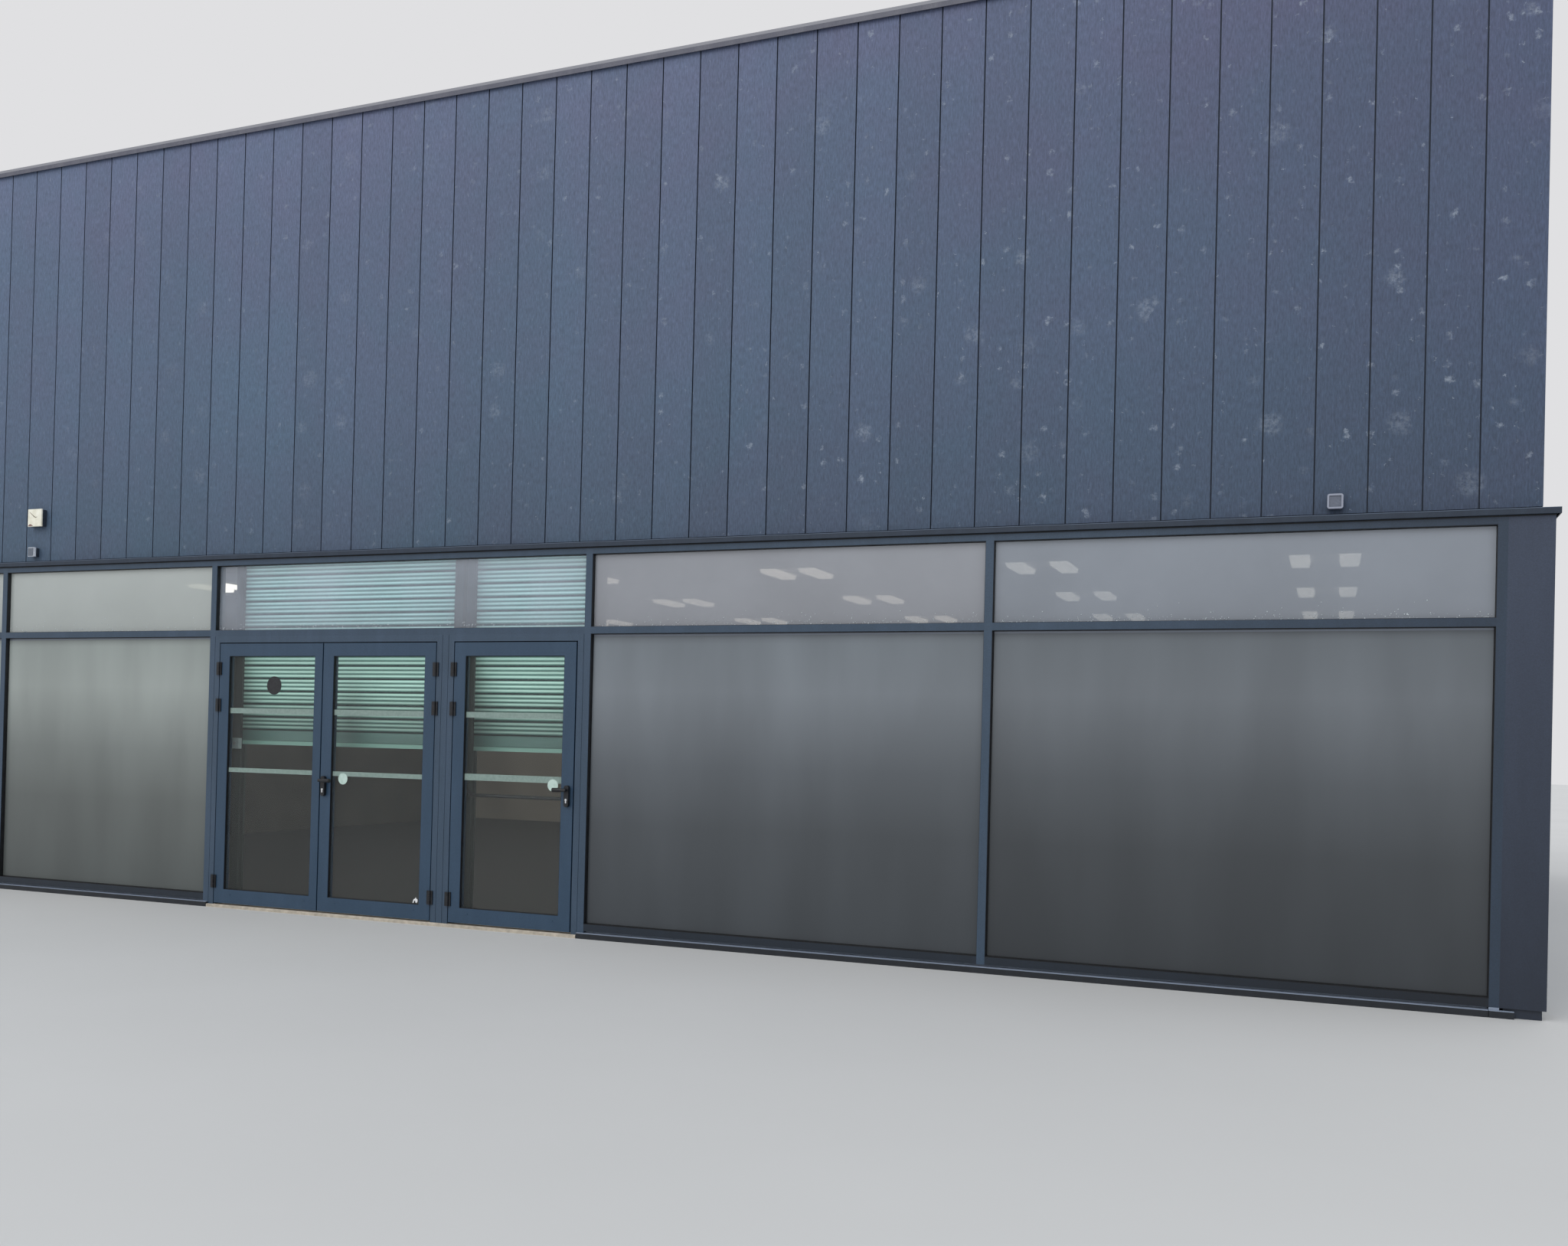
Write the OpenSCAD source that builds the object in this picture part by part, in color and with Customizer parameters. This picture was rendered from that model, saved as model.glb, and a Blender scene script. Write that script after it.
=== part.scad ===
// Single-storey retail building with a plank-clad upper wall over a glazed shopfront.
// Millimetres, +Z up, front towards -Y, origin at the bottom centre of the whole building.

/* [Building] */
// Depth of the building, front pier face to rear pier face
depth = 12000; // [8000:100:16000]
// Height to the top of the coping
height = 6500; // [5400:50:8000]
// How far piers and shopfront stand proud of the upper wall
base_step = 60; // [30:5:100]
// Thickness of the structural wall panels
wall_t = 150; // [100:10:240]
// Top of the floor above the ground
floor_h = 25; // [15:5:60]
// Width of the flat face of a corner pier
pier_w = 240; // [180:10:400]
// Gap between the ground and the cladding
ground_gap = 56; // [30:2:90]

/* [Cladding] */
// Cover width of one vertical plank
plank_w = 300; // [200:10:400]
// Width of the plank at the right-hand end of the front
end_plank_w = 330; // [150:10:500]
// Thickness of the plank skin with its rails
plank_t = 40; // [30:2:60]
// Width of the open joint between planks
joint_w = 8; // [5:1:14]
// Depth of the open joint between planks
joint_d = 14; // [8:1:22]
// Gap between the ledge flashing and the planks above it
plank_lift = 8; // [4:1:15]

/* [Ledge and coping] */
// Underside of the ledge flashing over the shopfront
ledge_z = 2880; // [2600:10:3200]
// Height of the front face of the ledge flashing
ledge_face = 36; // [25:1:60]
// Rise of the sloping top of the ledge flashing
ledge_rise = 10; // [5:1:20]
// How far the ledge flashing overhangs the piers
ledge_out = 25; // [15:1:45]
// Height of the face of the coping
coping_face = 58; // [40:2:100]
// How far the coping overhangs the planks
coping_out = 25; // [15:1:50]
// Thickness of the coping sheet with its packer
coping_t = 14; // [8:1:20]
// Width of the open joint at the mitres of ledge and coping
mitre_gap = 3; // [2:1:6]

/* [Shopfront] */
// Face width of a mullion
mullion_w = 54; // [44:1:80]
// Face width of a rail
rail_w = 50; // [40:1:80]
// Depth of mullions and rails
bar_d = 110; // [90:1:140]
// Distance from the face of a mullion to the glass
glass_set = 33; // [15:1:45]
// Thickness of the fixed glass
glass_t = 24; // [16:1:28]
// Centre distance of the mullions of a wide bay
wide_bay = 3000; // [2200:20:3600]
// Centre distance of the mullions of the narrow bay
narrow_bay = 2430; // [1400:10:3000]
// Underside of the transom rail
transom_z = 2242; // [2100:2:2400]
// Underside of the bottom rail
bottom_rail_z = 56; // [50:1:90]
// Height of the front face of the sill flashing
sill_face = 40; // [30:1:48]
// How far the sill flashing stands in front of the shopfront
sill_out = 22; // [10:1:40]
// How far the sill flashing runs on in front of a pier
sill_past = 75; // [40:5:150]
// Thickness of the privacy film
film_t = 2; // [1:0.5:2]
// Clear margin left round the privacy film
film_edge = 20; // [5:1:40]

/* [Doors] */
// Width of the left leaf of the double door
left_leaf_w = 1058; // [900:2:1150]
// Width of the right leaf of the double door
right_leaf_w = 1078; // [900:2:1150]
// Width of the leaf of the single door
single_leaf_w = 1070; // [900:2:1150]
// Underside of the door leaves above the ground
leaf_z = 37; // [36:1:60]
// Thickness of a door leaf
leaf_t = 62; // [54:1:75]
// Distance from the face of a leaf to its glass
leaf_glass_set = 18; // [10:1:24]
// Face width of a door jamb
jamb_w = 52; // [40:1:80]
// Gap between a leaf and the jamb at its hinges
hinge_gap = 8; // [7:1:12]
// Gap between a leaf and what it closes against at its free edge
lock_gap = 11; // [9:1:14]
// Gap between a leaf and the frame above it
head_gap = 8; // [6:1:12]
// Width of a door stile
stile_w = 100; // [80:1:130]
// Width of the meeting stile of the left leaf
meeting_stile_w = 76; // [60:1:110]
// Height of the top rail of a leaf
top_rail_h = 103; // [80:1:140]
// Height of the bottom rail of a leaf
bottom_rail_h = 114; // [90:1:220]
// Height of the threshold strip
threshold_h = 25; // [15:1:30]

/* [Hinges and handles] */
// Height of a hinge
hinge_h = 106; // [80:2:140]
// Outer radius of a hinge barrel
barrel_r = 11; // [9:0.5:13]
// Radius of a hinge pin
pin_r = 5; // [4:0.5:6]
// Running clearance round a pin or spindle
pin_clear = 0.1; // [0.05:0.01:0.2]
// Height of the lowest hinge above the leaf's underside
hinge_low = 177; // [120:1:300]
// Height of the middle hinge above the leaf's underside
hinge_mid = 1636; // [1000:1:1700]
// Height of the top hinge above the leaf's underside
hinge_top = 1938; // [1840:1:1990]
// Height of the lever above the ground
lever_z = 1084; // [900:2:1150]
// Length of the lever from its neck to its tip
lever_l = 100; // [80:2:150]
// How far the lever stands out from the leaf
lever_out = 75; // [70:1:80]
// Radius of the lever at its neck
lever_root_r = 12; // [11:0.5:13]
// Radius of the lever's grip
lever_grip_r = 16; // [14:0.5:18]
// Width of the lock case
plate_w = 38; // [30:1:50]
// Height of the lock case
plate_h = 160; // [130:5:260]
// Depth of the lock case in front of the leaf
plate_t = 28; // [12:1:30]
// Height of the push bar above the ground
push_bar_z = 1010; // [900:5:1100]

/* [Roller shutters] */
// Height of one shutter slat
slat_h = 108; // [80:1:130]
// Height of the shutters' lower edge above the ground
shutter_z = 1352; // [800:10:2000]
// Underside of the shutter boxes above the ground
shutter_box_z = 2950; // [2900:10:3000]
// Height and depth of the shutter boxes
shutter_box = 230; // [180:10:280]

/* [Roof and ceiling] */
// Depth of the parapet, from the coping's top down to the roof
parapet_h = 450; // [200:10:800]
// Thickness of the roof deck
deck_t = 120; // [80:10:200]
// Thickness of the roof membrane
membrane_t = 12; // [6:1:20]
// Underside of the ceiling above the ground
ceiling_z = 3300; // [3280:10:4000]
// Thickness of the ceiling
ceiling_t = 30; // [15:5:60]
// Length of a ceiling light
light_l = 600; // [400:50:900]
// Width of each of the two diffusers of a ceiling light
light_w = 180; // [100:10:250]
// Gap between the two diffusers of a ceiling light
light_gap = 250; // [100:10:300]
// Centre distance of the ceiling lights, about, along and across the building
light_pitch = 2600; // [2000:100:4000]

/* [Wall fittings] */
// Width of the alarm siren
siren_w = 180; // [120:5:300]
// Height of the alarm siren
siren_h = 156; // [100:2:300]
// Depth of the alarm siren
siren_d = 58; // [40:2:80]
// Width of the small wall sensor
sensor_w = 104; // [60:2:140]
// Height of the small wall sensor
sensor_h = 82; // [50:2:120]
// Depth of the small wall sensor
sensor_d = 55; // [30:1:80]
// Side of the square wall lamp
lamp_w = 90; // [60:2:160]
// Depth of the square wall lamp
lamp_d = 66; // [40:2:80]

/* [Hidden] */

anthracite = "#3c4654";
cladding_blue = "#46505f";
glass_tint = "#9fb3b8";
film_grey = "#4a4d50";
black_metal = "#1c1e22";
pale_panel = "#b9bdbb";
shutter_green = "#b7ccc6";

// Widths across the front, from the left pier to the right pier
door_bay = 2 * mullion_w + 4 * jamb_w + 3 * hinge_gap + 2 * lock_gap
    + left_leaf_w + right_leaf_w + single_leaf_w;
bay_pitches = [wide_bay, narrow_bay, door_bay, wide_bay, wide_bay];
door_index = 2;
bay_count = len(bay_pitches);
function total(list, n) = n == 0 ? 0 : list[n - 1] + total(list, n - 1);
base_w = 2 * pier_w + mullion_w + total(bay_pitches, bay_count);
wall_w = base_w - 2 * base_step;
function mullion_x(i) = -base_w / 2 + pier_w + total(bay_pitches, i);

// Levels
wall_top = height - coping_t;
cladding_z = ledge_z + ledge_face + ledge_rise + plank_lift;
head_z = ledge_z - rail_w;
leaf_head = transom_z - jamb_w;
leaf_h = leaf_head - head_gap - leaf_z;
roof_z = height - parapet_h;

// Depths, from the front face of the piers backwards
front_y = -(depth + ledge_out - lever_out) / 2;
rear_y = front_y + depth;
wall_y = front_y + base_step;
inner_y = wall_y + plank_t + wall_t;
inner_rear_y = rear_y - base_step - plank_t - wall_t;
inner_x = wall_w / 2 - plank_t - wall_t;
slab_y = front_y + bar_d;

// Glazing rebates of the shopfront bars and of the leaves
bite = 12;
seat = 2;
edge_clear = 4;
pocket = glass_t + 2 * seat;

// Door set-out, left edges
door_left_x = mullion_x(door_index) + mullion_w;
left_leaf_x = door_left_x + jamb_w + hinge_gap;
right_leaf_x = left_leaf_x + left_leaf_w + lock_gap;
post_x = right_leaf_x + right_leaf_w + hinge_gap + jamb_w;
single_leaf_x = post_x + mullion_w + jamb_w + hinge_gap;
door_right_x = single_leaf_x + single_leaf_w + lock_gap + jamb_w;
stop_gap = 6;
stop_t = 18;
stop_lip = 22;
jamb_d = leaf_t + stop_gap + stop_t;

// Hinge set-out
axis_out = barrel_r + 1;
wing_w = 14;
wing_t = 9;
knuckle_gap = 0.5;
hinge_levels = [hinge_low, hinge_mid, hinge_top];
left_axis_x = left_leaf_x - hinge_gap / 2;
right_axis_x = right_leaf_x + right_leaf_w + hinge_gap / 2;
single_axis_x = single_leaf_x - hinge_gap / 2;

// Handle set-out
plate_inset = 42;
plate_rise = 35;
neck_r = 10;
right_lever_x = right_leaf_x + plate_inset;
single_lever_x = single_leaf_x + single_leaf_w - plate_inset;

// Push bar set-out: the arms hang from pivots behind the leaf
bracket_w = 44;
bracket_h = 110;
bracket_d = 48;
pivot_depth = 24;
pivot_rise = 40;
push_reach = 68;
arm_t = 12;
arm_gap = 2;
arm_r = 17;
push_tube_r = 14;
push_pin_r = 6;
bracket_inset = 30;
push_left_x = single_leaf_x + bracket_inset;
push_right_x = single_leaf_x + single_leaf_w - bracket_inset - bracket_w;

// Shutter set-out: guides and boxes stand against the back of the front wall
slat_t = 16;
slat_joint = 10;
bead_d = 7;
beads = 3;
bead_steps = 6;
shutter_bar_h = 33;
guide_w = 80;
guide_d = 70;
guide_slot = 30;
guide_grip = 30;
shutter_y = inner_y + (guide_d - slat_t) / 2;
shutter_spans = [
    [left_leaf_x - 30, right_leaf_x + right_leaf_w + 30],
    [single_leaf_x - 30, single_leaf_x + single_leaf_w + 30]
];

// Extrudes a flat shape drawn in X and Z, from y to y + t
module layer(y, t) {
    translate([0, y + t, 0]) rotate([90, 0, 0]) linear_extrude(t) children();
}

// Extrudes a flat shape drawn in Y and Z, from x0 to x1
module run_x(x0, x1) {
    translate([x0, 0, 0]) rotate([90, 0, 90]) linear_extrude(x1 - x0) children();
}

// Box from its low corner to its high corner
module block(low, high) {
    translate(low) cube(high - low);
}

module floor_slab() {
    color("#8d8f8e") block([-inner_x, slab_y, 0], [inner_x, inner_rear_y, floor_h]);
}

// The strip passes under the mullions at both ends of the door bay
module door_threshold() {
    nose = 6;
    color("#b8ad9c") {
        run_x(door_left_x, door_right_x) polygon([
            [front_y - sill_out, 0], [front_y, 0], [front_y, threshold_h],
            [front_y - sill_out + nose, threshold_h], [front_y - sill_out, threshold_h - nose]
        ]);
        block([door_left_x - mullion_w, front_y, 0],
            [door_right_x + mullion_w, slab_y, threshold_h]);
    }
}

module front_wall() {
    color(pale_panel) block([-inner_x, wall_y + plank_t, ledge_z], [inner_x, inner_y, wall_top]);
}

// Below the ledge the wall runs between the corner piers
module right_wall() {
    color(pale_panel) {
        block([inner_x, front_y + pier_w, 0], [inner_x + wall_t, rear_y - pier_w, ledge_z]);
        block([inner_x, wall_y + plank_t, ledge_z],
            [inner_x + wall_t, rear_y - base_step - plank_t, wall_top]);
    }
}

module left_wall() {
    mirror([1, 0, 0]) right_wall();
}

module rear_wall() {
    color(pale_panel) block([-inner_x, inner_rear_y, 0], [inner_x, inner_rear_y + wall_t, wall_top]);
}

// Joint positions counted back from the far end of a wall
function joints_back(len, last) =
    [for (i = [0 : floor((len - last) / plank_w)]) len - last - i * plank_w];

// Width of the end planks where a wall is set out from its middle
function even_end(len) = (len - floor(len / plank_w - 1) * plank_w) / 2;

// Plan of a plank skin along X with its face at y = 0 and the open joints cut in
module plank_plan(len, last, backing) {
    difference() {
        square([len, plank_t + backing]);
        for (x = joints_back(len, last))
            if (x > joint_w && x < len - joint_w)
                translate([x - joint_w / 2, -1]) square([joint_w, joint_d + 1]);
    }
}

module front_cladding() {
    color(cladding_blue) translate([-wall_w / 2, wall_y, cladding_z])
        linear_extrude(wall_top - cladding_z) plank_plan(wall_w, end_plank_w, 0);
}

// The lower skin stands proud of the upper one and carries insulation behind it
module right_cladding() {
    upper_l = depth - 2 * (base_step + plank_t);
    lower_l = depth - 2 * pier_w;
    color(cladding_blue) {
        translate([wall_w / 2, wall_y + plank_t, cladding_z]) rotate(90)
            linear_extrude(wall_top - cladding_z) plank_plan(upper_l, even_end(upper_l), 0);
        translate([base_w / 2, front_y + pier_w, ground_gap]) rotate(90)
            linear_extrude(ledge_z - ground_gap) plank_plan(lower_l, even_end(lower_l), base_step);
    }
}

module left_cladding() {
    mirror([1, 0, 0]) right_cladding();
}

module rear_cladding() {
    lower_l = base_w - 2 * pier_w;
    color(cladding_blue) {
        translate([wall_w / 2, rear_y - base_step, cladding_z]) rotate(180)
            linear_extrude(wall_top - cladding_z) plank_plan(wall_w, even_end(wall_w), 0);
        translate([lower_l / 2, rear_y, ground_gap]) rotate(180)
            linear_extrude(ledge_z - ground_gap) plank_plan(lower_l, even_end(lower_l), base_step);
    }
}

// Each pier is a sheet casing on a set-back foot
module corner_piers() {
    foot = 20;
    color(anthracite) for (x = [-base_w / 2, base_w / 2 - pier_w], y = [front_y, rear_y - pier_w]) {
        block([x, y, ground_gap], [x + pier_w, y + pier_w, ledge_z]);
        block([x + foot, y + foot, 0], [x + pier_w - foot, y + pier_w - foot, ground_gap]);
    }
}

// Straight bar along X with its outer face at y = 0, mitred at both ends
module mitred_bar(len, width) {
    half = len / 2 - mitre_gap / 2;
    intersection() {
        run_x(-len / 2, len / 2) children();
        translate([0, 0, -height]) linear_extrude(2 * height)
            polygon([[-half, 0], [half, 0], [half - width, width], [width - half, width]]);
    }
}

// Four mitred bars round a rectangle whose middle is on the building's centre line
module mitred_ring(len_x, len_y, width, z) {
    mid_y = (front_y + rear_y) / 2;
    translate([0, mid_y - len_y / 2, z]) mitred_bar(len_x, width) children();
    translate([0, mid_y + len_y / 2, z]) rotate(180) mitred_bar(len_x, width) children();
    translate([len_x / 2, mid_y, z]) rotate(90) mitred_bar(len_y, width) children();
    translate([-len_x / 2, mid_y, z]) rotate(-90) mitred_bar(len_y, width) children();
}

// Folded flashing with an open drip under its nose
module ledge_flashing() {
    sheet = 6;
    back = ledge_out + base_step + plank_t;
    top = ledge_face + ledge_rise;
    color(anthracite)
        mitred_ring(base_w + 2 * ledge_out, depth + 2 * ledge_out, back, ledge_z) polygon([
            [0, 0], [0, ledge_face], [back - plank_t, top], [back, top], [back, 0],
            [ledge_out, 0], [ledge_out, ledge_face - 2 * sheet], [sheet, ledge_face - 2 * sheet],
            [sheet, 0]
        ]);
}

// Channel-shaped cap that falls towards the roof
module coping() {
    sheet = 5;
    fall = 6;
    width = plank_t + wall_t + 2 * coping_out;
    color(anthracite)
        mitred_ring(wall_w + 2 * coping_out, depth - 2 * base_step + 2 * coping_out, width, height)
            polygon([
                [0, -coping_face], [0, 0], [width, -fall], [width, -coping_face],
                [width - sheet, -coping_face], [width - sheet, -coping_t], [sheet, -coping_t],
                [sheet, -coping_face]
            ]);
}

module roof_deck() {
    top = roof_z - membrane_t;
    color("#a7aaa8") block([-inner_x, inner_y, top - deck_t], [inner_x, inner_rear_y, top]);
}

module roof_membrane() {
    color("#6d7173") block([-inner_x, inner_y, roof_z - membrane_t],
        [inner_x, inner_rear_y, roof_z]);
}

module ceiling() {
    color("#d4d2cc") block([-inner_x, inner_y, ceiling_z],
        [inner_x, inner_rear_y, ceiling_z + ceiling_t]);
}

// Twin lights in even rows: each is a tray with two tapered diffusers
module ceiling_lights() {
    tray_t = 12;
    light_t = 55;
    taper = 15;
    half = light_gap / 2 + light_w;
    columns = round(2 * inner_x / light_pitch);
    rows = round((inner_rear_y - inner_y) / light_pitch);
    color("white") for (i = [0 : columns - 1], j = [0 : rows - 1])
        translate([(i - (columns - 1) / 2) * light_pitch,
                (inner_y + inner_rear_y) / 2 + (j - (rows - 1) / 2) * light_pitch - light_l / 2,
                ceiling_z])
            layer(0, light_l) polygon([
                [-half, 0], [-half, -tray_t], [taper - half, -light_t],
                [-light_gap / 2 - taper, -light_t], [-light_gap / 2, -tray_t],
                [light_gap / 2, -tray_t], [light_gap / 2 + taper, -light_t],
                [half - taper, -light_t], [half, -tray_t], [half, 0]
            ]);
}

// Section of a glazing bar: width across its face, then depth, with the glass rebates
function bar_section(w, low, high) = concat(
    [[0, 0], [w, 0]],
    high ? [[w, glass_set], [w - bite, glass_set], [w - bite, glass_set + pocket],
        [w, glass_set + pocket]] : [],
    [[w, bar_d], [0, bar_d]],
    low ? [[0, glass_set + pocket], [bite, glass_set + pocket], [bite, glass_set],
        [0, glass_set]] : []
);

module upright(x, z0, z1, low, high) {
    translate([x, front_y, z0]) linear_extrude(z1 - z0)
        polygon(bar_section(mullion_w, low, high));
}

module rail(x0, x1, z, low, high) {
    translate([0, front_y, z]) run_x(x0, x1)
        polygon([for (p = bar_section(rail_w, low, high)) [p[1], p[0]]]);
}

module mullions() {
    color(anthracite) {
        for (i = [0 : bay_count]) {
            beside_door = i == door_index || i == door_index + 1;
            upright(mullion_x(i), beside_door ? threshold_h : bottom_rail_z, ledge_z,
                i > 0, i < bay_count);
        }
        upright(post_x, threshold_h, transom_z, false, false);
    }
}

// Head, transom and bottom rails between the mullions
module shopfront_rails() {
    color(anthracite) for (i = [0 : bay_count - 1]) {
        x0 = mullion_x(i) + mullion_w;
        x1 = mullion_x(i + 1);
        rail(x0, x1, head_z, true, false);
        rail(x0, x1, transom_z, i != door_index, true);
        if (i != door_index) rail(x0, x1, bottom_rail_z, false, true);
    }
}

// The sill's nose runs on past the last mullion in a separate end piece
module sill_run(x0, x1) {
    recess = 34;
    seat_z = sill_face + 2;
    block([x0, front_y + recess, 0], [x1, front_y + bar_d, bottom_rail_z]);
    run_x(x0, x1) polygon([
        [front_y - sill_out, 0], [front_y + recess, 0], [front_y + recess, seat_z + 2],
        [front_y - sill_out + 4, seat_z], [front_y - sill_out, sill_face]
    ]);
}

module sill_lip(x0, x1) {
    run_x(x0, x1) polygon([
        [front_y - sill_out, 0], [front_y, 0], [front_y, sill_face + 3],
        [front_y - sill_out + 4, sill_face + 2], [front_y - sill_out, sill_face]
    ]);
}

module sill_flashings() {
    joint = 3;
    left_end = mullion_x(0) + mullion_w;
    right_end = mullion_x(bay_count);
    color(anthracite) {
        sill_run(left_end + joint, mullion_x(door_index));
        sill_lip(mullion_x(door_index), door_left_x - joint);
        sill_lip(mullion_x(0) - sill_past, left_end);
        sill_run(door_right_x + mullion_w, right_end - joint);
        sill_lip(door_right_x + joint, door_right_x + mullion_w);
        sill_lip(right_end, right_end + mullion_w + sill_past);
        for (i = [0, bay_count])
            block([mullion_x(i), front_y, 0], [mullion_x(i) + mullion_w, front_y + bar_d,
                bottom_rail_z]);
    }
}

// Plan of a jamb whose stop lip points towards +X
module jamb(x, side) {
    translate([x + (side < 0 ? jamb_w : 0), front_y, threshold_h]) scale([side, 1, 1])
        linear_extrude(transom_z - threshold_h) polygon([
            [0, 4], [3, 4], [3, 0], [jamb_w, 0], [jamb_w, leaf_t + stop_gap],
            [jamb_w + stop_lip, leaf_t + stop_gap], [jamb_w + stop_lip, jamb_d], [0, jamb_d]
        ]);
}

module door_jambs() {
    color(anthracite) {
        jamb(door_left_x, 1);
        jamb(post_x - jamb_w, -1);
        jamb(post_x + mullion_w, 1);
        jamb(door_right_x - jamb_w, -1);
    }
}

module door_heads() {
    color(anthracite) for (span = [[door_left_x + jamb_w, post_x - jamb_w],
            [post_x + mullion_w + jamb_w, door_right_x - jamb_w]]) {
        layer(front_y, jamb_d - stop_t) translate([span[0], leaf_head])
            square([span[1] - span[0], jamb_w]);
        layer(front_y + jamb_d - stop_t, stop_t) translate([span[0] + stop_lip, leaf_head - stop_lip])
            square([span[1] - span[0] - 2 * stop_lip, jamb_w + stop_lip]);
    }
}

// A sheet of glass held by its edges between two mullions
module pane(i, z0, z1, y, t, edge) {
    block([mullion_x(i) + mullion_w - edge, y, z0 - edge], [mullion_x(i + 1) + edge, y + t, z1 + edge]);
}

module transom_panes() {
    color(glass_tint) for (i = [0 : bay_count - 1])
        pane(i, transom_z + rail_w, head_z, front_y + glass_set + seat, glass_t, bite - edge_clear);
}

module lower_panes() {
    color(glass_tint) for (i = [0 : bay_count - 1]) if (i != door_index)
        pane(i, bottom_rail_z + rail_w, transom_z, front_y + glass_set + seat, glass_t,
            bite - edge_clear);
}

// Film on the inner face of each large pane, cut just short of the frame
module privacy_films() {
    color(film_grey) for (i = [0 : bay_count - 1]) if (i != door_index)
        pane(i, bottom_rail_z + rail_w, transom_z,
            front_y + glass_set + seat + glass_t, film_t, -film_edge);
}

// Front profile of one slat, from its lower joint upwards: rounded beads one above another
function slat_face(z) = [
    [slat_joint, z], [bead_d, z + slat_joint / 2],
    for (s = [1 : beads * bead_steps]) [
        bead_d * (1 - abs(sin(180 * s / bead_steps))),
        z + slat_joint / 2 + s * (slat_h - slat_joint) / (beads * bead_steps)
    ]
];

// The lowest slat has no beads and ends in a bottom bar; the curtain runs up into its box
module shutter_curtains() {
    low = shutter_z + shutter_bar_h;
    first = low + slat_h - slat_t;
    count = floor((shutter_box_z - first) / slat_h);
    front = [for (i = [0 : count - 1]) each slat_face(first + i * slat_h)];
    color(shutter_green) for (s = shutter_spans) run_x(s[0] + guide_w / 2 - guide_grip,
            s[1] - guide_w / 2 + guide_grip) translate([shutter_y, 0]) polygon(concat(
        [[-4, shutter_z], [-4, low - 3], [slat_joint / 2, low - 3], [slat_joint / 2, low + 3],
            [0, low + slat_joint / 2], [0, first - slat_joint / 2]],
        front,
        [[slat_joint, first + count * slat_h], [0, first + count * slat_h + slat_joint],
            [0, shutter_box_z], [slat_t, shutter_box_z], [slat_t, shutter_z]]
    ));
}

// Guide channels stand on the floor and carry the box that the curtain rolls into
module shutter_casings() {
    color(pale_panel) for (s = shutter_spans) {
        for (side = [0, 1])
            translate([side == 0 ? s[0] - guide_w / 2 : s[1] + guide_w / 2, inner_y, floor_h])
                mirror([side, 0, 0]) linear_extrude(shutter_box_z - floor_h) difference() {
                    square([guide_w, guide_d]);
                    translate([guide_w / 2, (guide_d - guide_slot) / 2])
                        square([guide_w, guide_slot]);
                }
        block([s[0] - guide_w / 2, inner_y, shutter_box_z],
            [s[1] + guide_w / 2, inner_y + shutter_box, shutter_box_z + shutter_box]);
    }
}

// Door leaf ring in front view: outer size less the glass opening, widened by e
module leaf_ring(x, w, left_stile, right_stile, e) {
    translate([x, leaf_z]) difference() {
        square([w, leaf_h]);
        translate([left_stile - e, bottom_rail_h - e])
            square([w - left_stile - right_stile + 2 * e, leaf_h - bottom_rail_h - top_rail_h + 2 * e]);
    }
}

// Leaf frame with a glazing rebate and two drain caps on the bottom rail
module leaf_frame(x, w, left_stile, right_stile) {
    cap_r = 5;
    cap_l = 24;
    cap_z = leaf_z + bottom_rail_h - 42;
    color(anthracite) {
        layer(front_y, leaf_glass_set) leaf_ring(x, w, left_stile, right_stile, 0);
        layer(front_y + leaf_glass_set, pocket) leaf_ring(x, w, left_stile, right_stile, bite);
        layer(front_y + leaf_glass_set + pocket, leaf_t - leaf_glass_set - pocket)
            leaf_ring(x, w, left_stile, right_stile, 0);
        for (cx = [x + left_stile + 60, x + w - right_stile - 60]) layer(front_y - 3, 4) {
            translate([cx - cap_l / 2, cap_z - cap_r]) square([cap_l, 2 * cap_r]);
            for (e = [-1, 1]) translate([cx + e * cap_l / 2, cap_z]) circle(r = cap_r, $fn = 32);
        }
    }
}

module leaf_glass(x, w, left_stile, right_stile) {
    edge = bite - edge_clear;
    color(glass_tint) block(
        [x + left_stile - edge, front_y + leaf_glass_set + seat, leaf_z + bottom_rail_h - edge],
        [x + w - right_stile + edge, front_y + leaf_glass_set + seat + glass_t,
            leaf_z + leaf_h - top_rail_h + edge]);
}

// Places a hinge with its leaf side towards +X, or towards -X when side is -1
module at_hinges(axis_x, side) {
    for (level = hinge_levels)
        translate([axis_x, front_y - axis_out, leaf_z + level - hinge_h / 2])
            scale([side, 1, 1]) children();
}

module knuckle_arm(z0, z1) {
    translate([0, axis_out - wing_t, z0]) cube([axis_out, wing_t, z1 - z0]);
}

// Middle knuckle with its wing on the leaf, bored for the pin
module leaf_hinge() {
    z0 = hinge_h / 3 + knuckle_gap;
    z1 = 2 * hinge_h / 3 - knuckle_gap;
    difference() {
        union() {
            translate([0, 0, z0]) cylinder(h = z1 - z0, r = barrel_r, $fn = 48);
            knuckle_arm(z0, z1);
            translate([axis_out, axis_out - wing_t, 0]) cube([wing_w, wing_t, hinge_h]);
        }
        translate([0, 0, z0 - 1]) cylinder(h = z1 - z0 + 2, r = pin_r + pin_clear, $fn = 48);
    }
}

// Upper and lower knuckles with the pin and the wing on the jamb
module jamb_hinge() {
    cylinder(h = hinge_h, r = pin_r, $fn = 48);
    mirror([1, 0, 0]) {
        for (z = [0, 2 * hinge_h / 3]) {
            translate([0, 0, z]) cylinder(h = hinge_h / 3, r = barrel_r, $fn = 48);
            knuckle_arm(z, z + hinge_h / 3);
        }
        translate([axis_out, axis_out - wing_t, 0]) cube([wing_w, wing_t, hinge_h]);
    }
}

module frame_hinges() {
    color(black_metal) {
        at_hinges(left_axis_x, 1) jamb_hinge();
        at_hinges(right_axis_x, -1) jamb_hinge();
        at_hinges(single_axis_x, 1) jamb_hinge();
    }
}

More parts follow.
